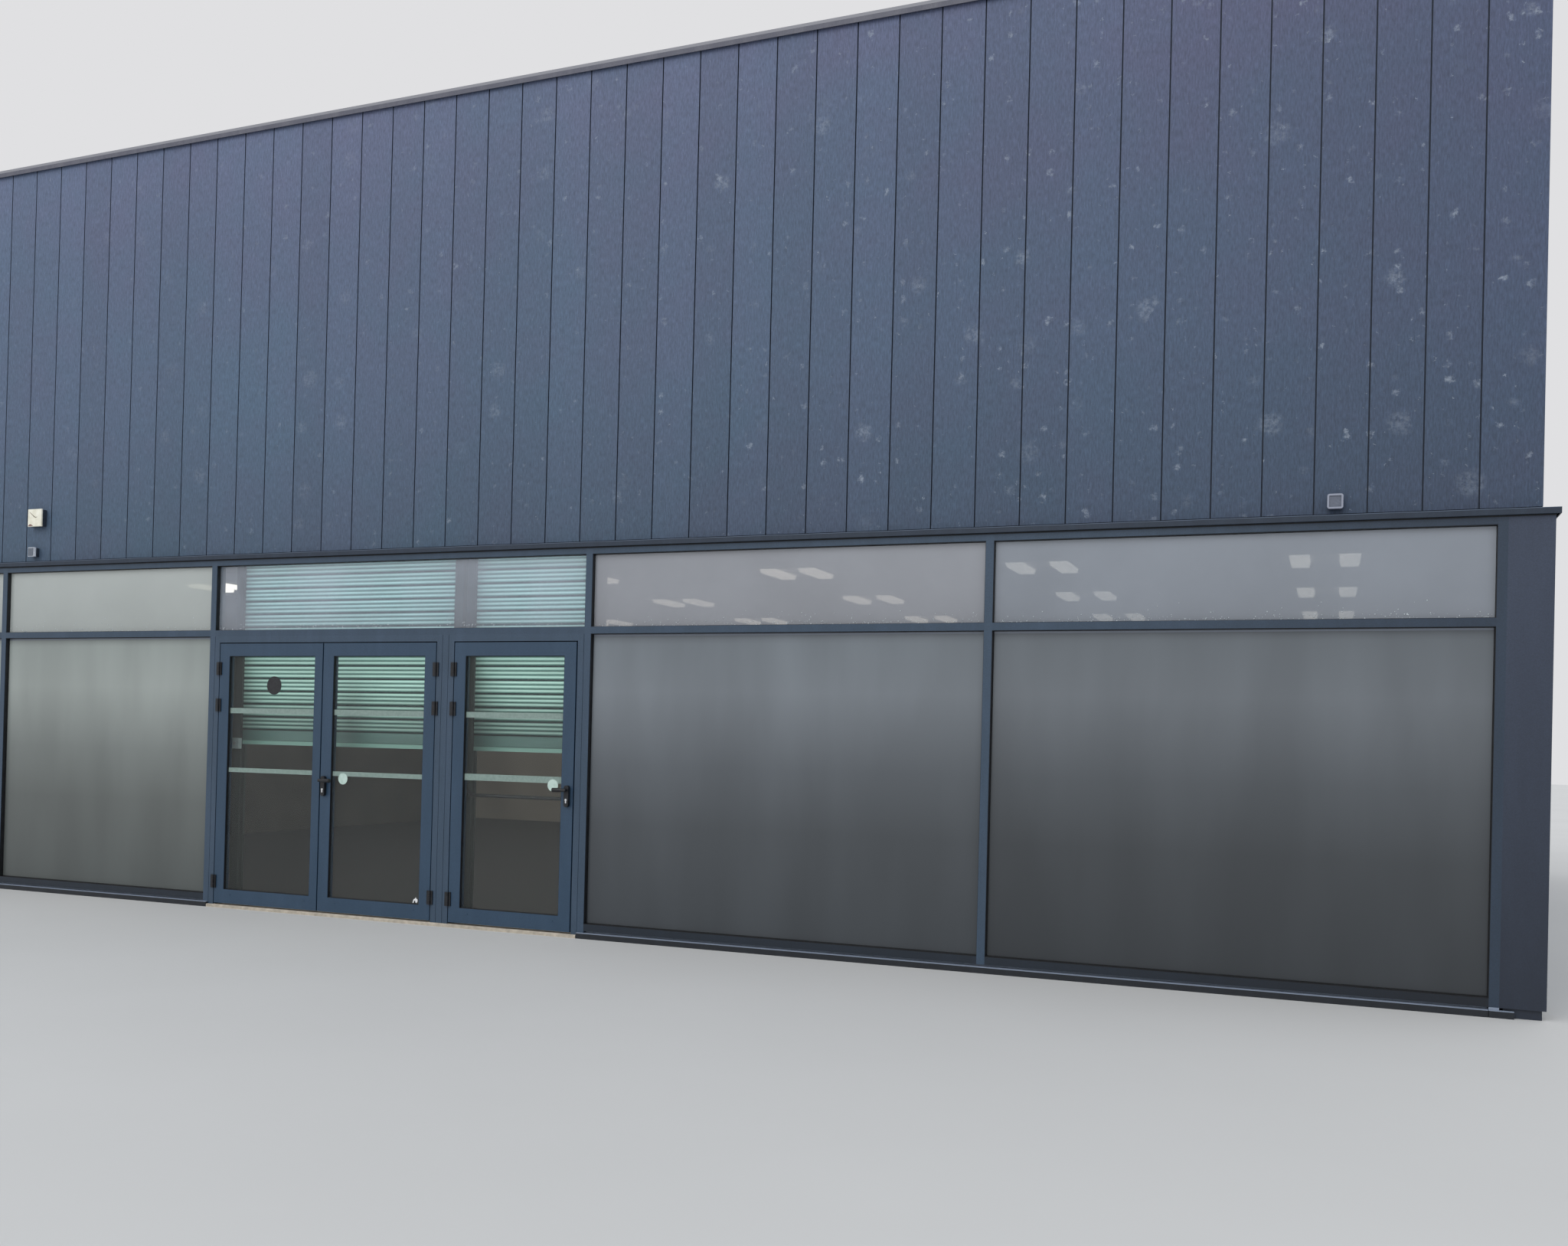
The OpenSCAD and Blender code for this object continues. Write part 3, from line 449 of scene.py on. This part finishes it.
# Upper panes: clear insulating glass, dull with damp on the inside, so that each bay has its
# own pale haze, which also stands for the sky reflected in the glass, a painted reflection.
# The haze is painted paler towards the top. Beads of water stand along the lower edge.
def by_pane(tree, across, spans, colours):
    """The colour of each pane in a row, from left to right."""
    chosen = colours[0]
    for span, colour in zip(spans[1:], colours[1:]):
        passed = calc(tree, "GREATER_THAN", across, span[0])
        chosen = blend(tree, passed, chosen, colour)
    return chosen


def grey(value):
    """A colour socket's value for a plain number."""
    return (value, value, value, 1.0)


upper_spans = pane_spans("transom_panes")
upper_low, upper_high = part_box("transom_panes")
damp_glass_painted_sky, tree, shader, place = new_finish("damp_float_glass_painted_sky", IOR=1.52)
axes = add(tree, "SeparateXYZ", {0: place})
# Each bay's haze colour is partly damp and partly painted reflection of the sky.
haze_and_sky_reflection = by_pane(tree, axes.outputs["X"], upper_spans,
               ("#c8cecb", "#c8cecb", "#e4ecf8", "#b8bbc2", "#adb4be"))
# Painted reflection: the haze grows paler towards the top.
haze_and_sky_reflection = times(tree, haze_and_sky_reflection, ranged(tree, axes.outputs["Z"], upper_low.z, upper_high.z, 0.86, 1.04))
tree.links.new(haze_and_sky_reflection.outputs[0], shader.inputs["Base Color"])
cloud = noise(tree, place, 1.5, 4.0)
clear = by_pane(tree, axes.outputs["X"], upper_spans,
                (grey(0.30), grey(0.30), grey(0.81), grey(0.42), grey(0.42)))
clear = calc(tree, "MULTIPLY", clear, ranged(tree, cloud, 0.35, 0.65, 0.92, 1.08))
tree.links.new(clear.outputs[0], shader.inputs["Transmission Weight"])
rough = by_pane(tree, axes.outputs["X"], upper_spans,
                (grey(1.0), grey(1.0), grey(0.0), grey(1.0), grey(1.0)))
rough = calc(tree, "MULTIPLY", rough, ranged(tree, cloud, 0.35, 0.70, 0.01, 0.03))
tree.links.new(rough.outputs[0], shader.inputs["Roughness"])
dress(damp_glass_painted_sky, "transom_panes")

draw = random.Random(11)
water = mottled("water_beads", "#8f9aa2", "#e6edf0", 6, 0.08, IOR=1.33)
drops_per_m = 70
drop_margin = 0.02
drop_rise, drop_rise_max = 0.022, 0.25
drop_r_min, drop_r_max = 0.0015, 0.0042
drop_gap = 0.0002
drop_sides = 6
drop_rings = ((1.0, 0.0), (0.72, 0.55))
drop_tip = 0.8
drops = bmesh.new()
for x0, x1 in upper_spans:
    for _ in range(int(drops_per_m * (x1 - x0))):
        x = draw.uniform(x0 + drop_margin, x1 - drop_margin)
        z = upper_low.z + pane_edge + gasket_w + min(draw.expovariate(1 / drop_rise),
                                                     drop_rise_max)
        r = draw.uniform(drop_r_min, drop_r_max)
        rows = []
        for wide, out in drop_rings:
            rows.append([drops.verts.new((x + wide * r * math.cos(2 * math.pi * k / drop_sides),
                                          upper_low.y - drop_gap - out * r,
                                          z + wide * r * math.sin(2 * math.pi * k / drop_sides)))
                         for k in range(drop_sides)])
        tip = drops.verts.new((x, upper_low.y - drop_gap - drop_tip * r, z))
        drops.faces.new(rows[0])
        for k in range(drop_sides):
            j = (k + 1) % drop_sides
            drops.faces.new((rows[0][k], rows[0][j], rows[1][j], rows[1][k]))
            drops.faces.new((rows[1][k], rows[1][j], tip))
water_beads = mesh_piece("water_beads", drops, water)
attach(water_beads, "building")


# Lower panes: glass made private by a dark satin film on the inner face, cut short of the
# frame. It reads as one soft grey sheet whose colour carries painted reflection: paler where
# the sky lies in it, with faint upright streaks of reflected trees, a painted shadow under the
# transom at the very top, and a tone for each bay, paler in the left-hand bays, which are seen
# at a glancing angle. A strip of clear glass is left at the sides and the foot, and a dull strip
# at the top.
lower_spans = pane_spans("lower_panes")
lower_low, lower_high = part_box("lower_panes")
film_margin = 0.016
top_strip = 0.026


def satin_film_painted_sky(name, **sockets):
    """Grey film with painted reflection: a vertical fade, upright streaks and a tone for each bay.
    """
    material, tree, shader, place = new_finish(name, **sockets)
    axes = add(tree, "SeparateXYZ", {0: place})
    painted_light_rise = ranged(tree, axes.outputs["Z"], lower_low.z, lower_high.z)
    # Painted reflection and shadow: paler where the sky is reflected, darker at the very top under
    # the transom.
    base = ramp(tree, painted_light_rise, (0.0, "#4d5257"), (0.35, "#595e63"), (0.55, "#6d7379"),
                (0.80, "#8e959c"), (0.96, "#8a9299"), (1.0, "#777e85"))
    # Painted reflection: faint upright streaks of reflected trees.
    reflected_streak = noise(tree, stretched(tree, place, (2.4, 2.4, 0.5)), 1.0, 3.0, 0.45)
    base = times(tree, base, ranged(tree, reflected_streak, 0.35, 0.68, 0.90, 1.10))
    # A tone for each bay, partly painted reflection: the left-hand bays, seen at a glancing angle,
    # are paler.
    base = times(tree, base, by_pane(
        tree, axes.outputs["X"], lower_spans,
        ((1.17, 1.15, 0.99, 1), (1.17, 1.15, 0.99, 1), grey(0.69), grey(0.54))))
    strip = calc(tree, "GREATER_THAN", axes.outputs["Z"], lower_high.z - top_strip)
    base = blend(tree, strip, base, "#7b828e")
    tree.links.new(base.outputs[0], shader.inputs["Base Color"])
    return material, tree, shader, axes


film_glass_painted_sky, tree, shader, axes = satin_film_painted_sky("film_backed_glass_painted_sky", Roughness=0.28, IOR=1.45)
beside = None
for x0, x1 in lower_spans:
    from_middle = calc(tree, "SUBTRACT", axes.outputs["X"], (x0 + x1) / 2)
    from_middle = calc(tree, "ABSOLUTE", from_middle)
    past_film = calc(tree, "SUBTRACT", from_middle, (x1 - x0) / 2 - film_margin)
    beside = past_film if beside is None else calc(tree, "MINIMUM", beside, past_film)
below = calc(tree, "SUBTRACT", lower_low.z + film_margin, axes.outputs["Z"])
bare = calc(tree, "GREATER_THAN", calc(tree, "MAXIMUM", beside, below), 0.0)
tree.links.new(bare.outputs[0], shader.inputs["Transmission Weight"])
dress(film_glass_painted_sky, "lower_panes")
dress(satin_film_painted_sky("grey_satin_film_painted_sky", Roughness=0.5)[0], "privacy_films")


# Door leaves: welded aluminium frames in a bluer coat than the shopfront's, glazed with
# clear safety glass. Frosted bands and round markers on the glass keep people from walking
# into it, and the torn rest of a label is left low on the right leaf.
leaf_coat = sheet_finish("powder_coated_leaf", "#284158", "#324a62", 0.5, 0.42)
dress(leaf_coat, "left_leaf_frame", "right_leaf_frame", "single_leaf_frame")

door_glass, tree, shader, place = new_finish("clear_safety_glass", Base_Color="#f8fcfb",
                                             IOR=1.20, Transmission_Weight=0.98)
smear = ranged(tree, noise(tree, place, 5.0, 5.0), 0.40, 0.75, 0.0, 0.05)
tree.links.new(smear.outputs[0], shader.inputs["Roughness"])
dress(door_glass, "left_leaf_glass", "right_leaf_glass", "single_leaf_glass")

frosting = mottled("frosted_vinyl", "#9ab1a9", "#aec3bb", 17, 0.6, Transmission_Weight=0.35,
                   IOR=1.3)
white_vinyl = mottled("white_vinyl", "#b6cec4", "#cbdfd7", 25, 0.5)
black_vinyl = mottled("black_vinyl", "#191a1e", "#24252a", 25, 0.45)
vinyl_t = 0.0006


def sticker(mesh, outline, y, thickness=vinyl_t):
    """Adds a flat shape, drawn in X and Z, that stands out from a face at y."""
    back = [mesh.verts.new((x, y, z)) for x, z in outline]
    front = [mesh.verts.new((x, y - thickness, z)) for x, z in outline]
    mesh.faces.new(front)
    mesh.faces.new(back)
    bridge(mesh, front, back)


def disc(x, z, radius, sides=48):
    """Outline of a round marker."""
    return [(x + radius * math.cos(2 * math.pi * i / sides),
             z + radius * math.sin(2 * math.pi * i / sides)) for i in range(sides)]


leaf_rebate_shade_in = 0.003
upper_band = (1.607, 1.651)
lower_band = (1.121, 1.158)
leaves = (
    ("left_leaf", "door_left", (upper_band, lower_band), black_vinyl, (-1.425, 1.839, 0.075)),
    ("right_leaf", "door_right", (upper_band, lower_band), white_vinyl, (-0.707, 1.101, 0.045)),
    ("single_leaf", "door_single", (upper_band, (1.129, 1.179)), white_vinyl,
     (1.225, 1.114, 0.045)),
)
for leaf, body, bands, marker_finish, (marker_x, marker_z, marker_r) in leaves:
    glass_low, glass_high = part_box(leaf + "_glass")
    x0, x1 = glass_low.x + pane_edge, glass_high.x - pane_edge
    z0, z1 = glass_low.z + pane_edge, glass_high.z - pane_edge
    gasket_y = glass_low.y - gasket_out
    band_mesh = bmesh.new()
    for band_low, band_high in bands:
        sticker(band_mesh, ((x0, band_low), (x1, band_low), (x1, band_high), (x0, band_high)),
                glass_low.y)
    leaf_bands = mesh_piece(leaf + "_bands", band_mesh, frosting)
    marker_mesh = bmesh.new()
    sticker(marker_mesh, disc(marker_x, marker_z, marker_r), glass_low.y - vinyl_t)
    leaf_marker = mesh_piece(leaf + "_marker", marker_mesh, marker_finish)
    leaf_gasket_and_shade_mesh = bmesh.new()
    ring(leaf_gasket_and_shade_mesh, (x0, z0), (x1, z1), gasket_w, gasket_y, glass_low.y)
    # The liner lines the sides of the leaf's rebate in black: painted shade, for the shadow inside
    # it.
    ring(leaf_gasket_and_shade_mesh, (x0, z0), (x1, z1), rebate_shade_w, front_y + leaf_rebate_shade_in, gasket_y)
    leaf_gasket_and_shade = mesh_piece(leaf + "_gasket_and_rebate_shade", leaf_gasket_and_shade_mesh, black_rubber_and_shade)
    for piece, slot in ((leaf_bands, "film"), (leaf_marker, "film"),
                        (leaf_gasket_and_shade, "door_paint")):
        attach(piece, body)

torn_label = bmesh.new()
label_x, label_z = -0.006, 0.158
sticker(torn_label, [(label_x + dx, label_z + dz) for dx, dz in (
    (0.0, 0.0), (0.009, 0.004), (0.015, 0.020), (0.024, 0.022), (0.028, 0.006), (0.037, 0.003),
    (0.047, 0.018), (0.044, 0.032), (0.034, 0.035), (0.029, 0.047), (0.022, 0.036),
    (0.010, 0.031), (0.003, 0.014))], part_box("right_leaf_glass")[0].y)
label_rest = mesh_piece("torn_label", torn_label,
                        mottled("torn_white_paper", "#e9ebeb", "#fbfbfb", 8, 0.8))
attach(label_rest, "door_right")


# Hinges, lock cases, levers and push bar: cast and turned metal in fine black powder coat,
# rubbed a little paler where hands and pins touch it. A bright lock cylinder stands in
# each lock case, under the lever.
black_coat, tree, shader, place = new_finish("fine_black_powder_coat", Roughness=0.4)
wear = ramp(tree, noise(tree, place, 30.0, 4.0), (0.4, "#0f1014"), (0.75, "#22242a"))
tree.links.new(wear.outputs[0], shader.inputs["Base Color"])
relief = add(tree, "Bump", {"Height": noise(tree, place, 900.0), "Strength": 0.2,
                            "Distance": 0.0002})
tree.links.new(relief.outputs[0], shader.inputs["Normal"])
dress(black_coat, "frame_hinges", "left_leaf_hinges", "right_leaf_hinges", "single_leaf_hinges",
      "right_lock_plate", "single_lock_plate", "right_lever", "single_lever",
      "push_bar_brackets", "push_bar")

nickel = mottled("brushed_nickel", "#c9cbcd", "#eceded", 6, 0.35, Metallic=0.6)
cylinder_r = 0.0085
cylinder_drop = 0.024
cylinder_web = 0.005
cylinder_above_foot = 0.053
cylinder_out = 0.003
cylinder_steps = 24
shoulder = math.asin(cylinder_web / cylinder_r)
for leaf, body in (("right", "door_right"), ("single", "door_single")):
    case_low, case_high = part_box(leaf + "_lock_plate")
    x = (case_low.x + case_high.x) / 2
    z = case_low.z + cylinder_above_foot
    outline = [(x + cylinder_r * math.cos(a), z + cylinder_r * math.sin(a)) for a in (
        -math.pi / 2 + shoulder + (2 * math.pi - 2 * shoulder) * k / cylinder_steps
        for k in range(cylinder_steps + 1))]
    outline += [(x - cylinder_web, z - cylinder_drop), (x + cylinder_web, z - cylinder_drop)]
    cylinder_mesh = bmesh.new()
    sticker(cylinder_mesh, outline, case_low.y, thickness=cylinder_out)
    lock_cylinder = mesh_piece(leaf + "_lock_cylinder", cylinder_mesh, nickel)
    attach(lock_cylinder, body)


# Roller shutters: curtains of pressed aluminium slats in pale green enamel, half lowered
# inside the doors, in guides of plain galvanised sheet, painted dark as painted shade. Each bead
# is painted with a bright crest and dark flanks, a painted highlight and shade, the joints
# between slats are painted dark as painted shade, and the curtain is painted paler towards the
# top, a painted light.
slat_pitch = 0.108
bead_start = 0.005
bead_pitch = (slat_pitch - 2 * bead_start) / 3
groove_shade_half, groove_shade_core = 0.009, 0.004
joint_z = 1.477
low_slat_z = joint_z - 0.006
end_bar_z = 1.384
enamel_with_painted_light, tree, shader, place = new_finish("pale_green_slat_enamel_painted_light", Roughness=0.34)
height = add(tree, "SeparateXYZ", {0: place}).outputs["Z"]
in_slat = calc(tree, "FLOORED_MODULO", calc(tree, "SUBTRACT", height, joint_z), slat_pitch)
in_bead = calc(tree, "FLOORED_MODULO", calc(tree, "SUBTRACT", in_slat, bead_start), bead_pitch)
# Painted highlight and shade: each bead is bright at its crest and dark at its flanks.
base = ramp(tree, calc(tree, "DIVIDE", in_bead, bead_pitch), (0.0, "#3f5e59"),
            (0.25, "#6a968c"), (0.55, "#c4e6da"), (0.80, "#9cc4b8"), (1.0, "#45645e"))
from_middle = calc(tree, "ABSOLUTE", calc(tree, "SUBTRACT", in_slat, slat_pitch / 2))
# Painted shade: the joint between slats is dark.
painted_groove_shade = ranged(tree, from_middle, slat_pitch / 2 - groove_shade_half, slat_pitch / 2 - groove_shade_core)
base = blend(tree, painted_groove_shade, base, "#16282a")
base = blend(tree, calc(tree, "LESS_THAN", height, low_slat_z), base, "#6f958e")
base = blend(tree, calc(tree, "LESS_THAN", height, end_bar_z), base, "#a5d5c6")
# Painted light: the curtain grows paler towards the top.
base = times(tree, base, ranged(tree, height, 1.4, 2.6, 0.80, 1.95))
dust = noise(tree, stretched(tree, place, (1.2, 1.2, 22.0)), 1.0, 4.0)
base = times(tree, base, ranged(tree, dust, 0.3, 0.7, 0.88, 1.10))
tree.links.new(base.outputs[0], shader.inputs["Base Color"])
dress(enamel_with_painted_light, "shutter_curtains")
# The galvanised guides are coloured dark: a painted shade, for the shadow they stand in.
dress(sheet_finish("galvanised_guides_painted_shade", "#2b3533", "#37423f", 0.6, 0.45), "shutter_casings")


# Key switch: a small pale plastic box on the left shutter guide, with the round barrel that
# takes the key to raise and lower the shutter.
def housing(mesh, low, high, edge, edge_depth=None):
    """Adds a box from low to high whose front edges are cut back by edge, over edge_depth."""
    rows = []
    for y, inset in ((high[1], 0.0), (low[1] + (edge_depth or edge), 0.0), (low[1], edge)):
        rows.append([mesh.verts.new((x, y, z)) for x, z in (
            (low[0] + inset, low[2] + inset), (high[0] - inset, low[2] + inset),
            (high[0] - inset, high[2] - inset), (low[0] + inset, high[2] - inset))])
    for one, two in zip(rows, rows[1:]):
        bridge(mesh, one, two)
    mesh.faces.new(rows[0])
    mesh.faces.new(rows[-1])


guide_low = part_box("shutter_casings")[0]
switch_w, switch_d, switch_h = 0.090, 0.034, 0.090
switch_inset = 0.002
switch_gap = 0.0002
switch_z = 1.312
switch_low = Vector((guide_low.x + switch_inset, guide_low.y - switch_d - switch_gap, switch_z))
switch_high = (switch_low.x + switch_w, switch_low.y + switch_d, switch_low.z + switch_h)
switch_edge = 0.006
switch_edge_depth = 0.18 * switch_d
barrel_r = 0.013
barrel_out = 0.008
switch_mesh = bmesh.new()
housing(switch_mesh, switch_low, switch_high, switch_edge, switch_edge_depth)
switch_plastic = mottled("pale_grey_plastic", "#cbdcda", "#dfecea", 30, 0.45)
key_switch = mesh_piece("key_switch", switch_mesh, switch_plastic)
barrel_mesh = bmesh.new()
sticker(barrel_mesh, disc(switch_low.x + switch_w / 2, switch_low.z + switch_h / 2, barrel_r),
        switch_low.y, thickness=barrel_out)
key_barrel = mesh_piece("key_barrel", barrel_mesh, nickel)
for piece in (key_switch, key_barrel):
    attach(piece, "building")


# Threshold and hall: a worn pale stone strip under the doors, a dark satin tile floor,
# painted wall panels and a grid ceiling. Only the diffusers of the twin lights glow.
def laid_finish(name, tone, other_tone, joint, joint_w, wide, deep, roughness, **settings):
    """A finish laid in tiles or strips; returns material, tree, shader, place and pattern."""
    material, tree, shader, place = new_finish(name, Roughness=roughness)
    pattern = add(tree, "TexBrick", {"Vector": place, "Color1": tone, "Color2": other_tone,
                                     "Mortar": joint, "Scale": 1.0, "Mortar Size": joint_w,
                                     "Brick Width": wide, "Row Height": deep}, **settings)
    tree.links.new(pattern.outputs[0], shader.inputs["Base Color"])
    return material, tree, shader, place, pattern


dress(mottled("worn_pale_stone", "#a39a8c", "#c6bcac", 40, 0.75), "door_threshold")
tile_w = 0.6
dress(laid_finish("dark_floor_tiles", "#1d1d1f", "#252427", "#111112", 0.004, tile_w, tile_w,
                  0.5, offset=0.0)[0], "floor_slab")
dress(mottled("painted_wall_panel", "#3a3836", "#46433f", 500, 0.8), "front_wall", "left_wall",
      "right_wall")
dress(mottled("painted_rear_panel", "#857d73", "#958c81", 900, 0.8), "rear_wall")
dress(laid_finish("ceiling_tiles", "#8f9090", "#979897", "#5f6160", 0.012, tile_w, tile_w,
                  0.9, offset=0.0)[0], "ceiling")

tray_h = 0.014
diffuser_glow = 1.8
diffuser, tree, shader, place = new_finish("opal_diffuser", Roughness=0.4,
                                           Emission_Color="#fff3dc")
height = add(tree, "SeparateXYZ", {0: place}).outputs["Z"]
glow = calc(tree, "LESS_THAN", height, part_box("ceiling_lights")[1].z - tray_h)
glow = calc(tree, "MULTIPLY", glow, diffuser_glow)
tree.links.new(glow.outputs[0], shader.inputs["Emission Strength"])
tone = ramp(tree, noise(tree, place, 3.0), (0.3, "#c9c7c0"), (0.7, "#d8d5cc"))
tree.links.new(tone.outputs[0], shader.inputs["Base Color"])
dress(diffuser, "ceiling_lights")


# Roof: a felt membrane rolled out over a steel deck, with a welded lap at every metre and
# an end lap at every eight. Fine grit is pressed into the felt.
felt, tree, shader, place, laps = laid_finish("grey_roofing_felt", "#6b7072", "#757a7b",
                                              "#505557", 0.01, 8.0, 1.0, 0.9)
grit = add(tree, "MixRGB", {"Fac": 0.25, "Color1": laps, "Color2": noise(tree, place, 40.0, 5.0)},
           blend_type="OVERLAY")
tree.links.new(grit.outputs[0], shader.inputs["Base Color"])
dress(felt, "roof_membrane")
dress(sheet_finish("galvanised_deck", "#9a9f9e", "#aeb2b1", 0.6, 0.5), "roof_deck")


# Wall fittings: an alarm sounder with a scratched cream plastic cover, chipped at one corner,
# and a small sensor in a white shell, both on dark plastic backs, and a square aluminium lamp
# with a sunk grey lens. All are screwed to the boards just above the ledge.
cream = mottled("yellowed_cream_plastic", "#e6e2ce", "#fbf8e9", 45, 0.5)
dark_plastic = mottled("dark_moulded_plastic", "#262d38", "#343c49", 25, 0.4)
white_plastic = mottled("white_moulded_plastic", "#cdd3dd", "#e6eaf1", 12, 0.4)
grey_window = mottled("grey_sensor_window", "#5a626e", "#69717d", 9, 0.25)
brown_dirt = mottled("brown_dirt", "#57493a", "#6d5c48", 6, 0.8)
red_primer = mottled("bared_red_primer", "#6e4748", "#845a58", 7, 0.8)
siren_low, siren_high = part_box("alarm_siren")
sensor_low, sensor_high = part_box("wall_sensor")
cover_x0, cover_x1 = -4.247, -4.080
cover_t, cover_edge = 0.014, 0.004
cover_y = siren_low.y + cover_t
shell_x0, shell_x1 = -4.238, sensor_high.x
shell_t, shell_edge = 0.021, 0.003
shell_y = sensor_low.y + shell_t
back_inset, back_edge = 0.004, 0.001
siren_back_top = 0.006
sensor_back_side = 0.002
fittings = (
    ("siren_cover", "siren_cover", cream, None,
     (cover_x0, siren_low.y, siren_low.z), (cover_x1, cover_y, siren_high.z), cover_edge),
    ("siren_body", "siren_cover", dark_plastic, "alarm_siren",
     (cover_x0 + back_inset, cover_y, siren_low.z + back_inset),
     (cover_x1 - back_inset, siren_high.y, siren_high.z - siren_back_top), back_edge),
    ("sensor_shell", "sensor_cover", white_plastic, None,
     (shell_x0, sensor_low.y, sensor_low.z), (shell_x1, shell_y, sensor_high.z), shell_edge),
    ("sensor_body", "sensor_cover", dark_plastic, "wall_sensor",
     (shell_x0 + back_inset, shell_y, sensor_low.z + back_inset),
     (shell_x1 - sensor_back_side, sensor_high.y, sensor_high.z - back_inset), back_edge))
for name, slot, finish, replaced, low, high, edge in fittings:
    fitting_mesh = bmesh.new()
    housing(fitting_mesh, low, high, edge)
    fitting = mesh_piece(name, fitting_mesh, finish)
    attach(fitting, "building")
    if replaced:
        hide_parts(replaced)

scratch = ((-4.221, 3.363), (-4.219, 3.365), (-4.166, 3.326), (-4.147, 3.318), (-4.131, 3.322),
           (-4.131, 3.319), (-4.148, 3.313), (-4.158, 3.316), (-4.170, 3.321))
chip_x, chip_z = cover_x0 + 0.008, siren_low.z + 0.0065
chip = ((chip_x, chip_z), (-4.178, chip_z), (-4.188, 3.247), (-4.206, 3.256), (-4.226, 3.255))
window_edge = 0.005
window_x0, window_x1 = shell_x0 + window_edge, shell_x1 - window_edge
window_z0, window_z1 = sensor_low.z + window_edge, sensor_high.z - window_edge
window = ((window_x0, window_z0), (window_x1, window_z0), (window_x1, window_z1),
          (window_x0, window_z1))
for name, slot, finish, outline, y in (
        ("siren_scratch", "siren_cover", brown_dirt, scratch, siren_low.y),
        ("siren_chip", "siren_cover", red_primer, chip, siren_low.y),
        ("sensor_window", "sensor_cover", grey_window, window, sensor_low.y)):
    mark_mesh = bmesh.new()
    sticker(mark_mesh, outline, y)
    mark = mesh_piece(name, mark_mesh, finish)
    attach(mark, "building")

rim_depth = 0.0038
rim_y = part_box("wall_lamp")[0].y + rim_depth
lamp_coat, tree, shader, place = new_finish("grey_lamp_coat", Roughness=0.4)
depth = add(tree, "SeparateXYZ", {0: place}).outputs["Y"]
# The front rim is painted pale: the aluminium's own tone together with a painted highlight.
rim_highlight = calc(tree, "LESS_THAN", depth, rim_y)
tone = ramp(tree, noise(tree, place, 90.0, 3.0), (0.3, "#5c6270"), (0.7, "#6a707e"))
tone = blend(tree, rim_highlight, tone, "#9297a6")
tree.links.new(tone.outputs[0], shader.inputs["Base Color"])
dress(lamp_coat, "wall_lamp")
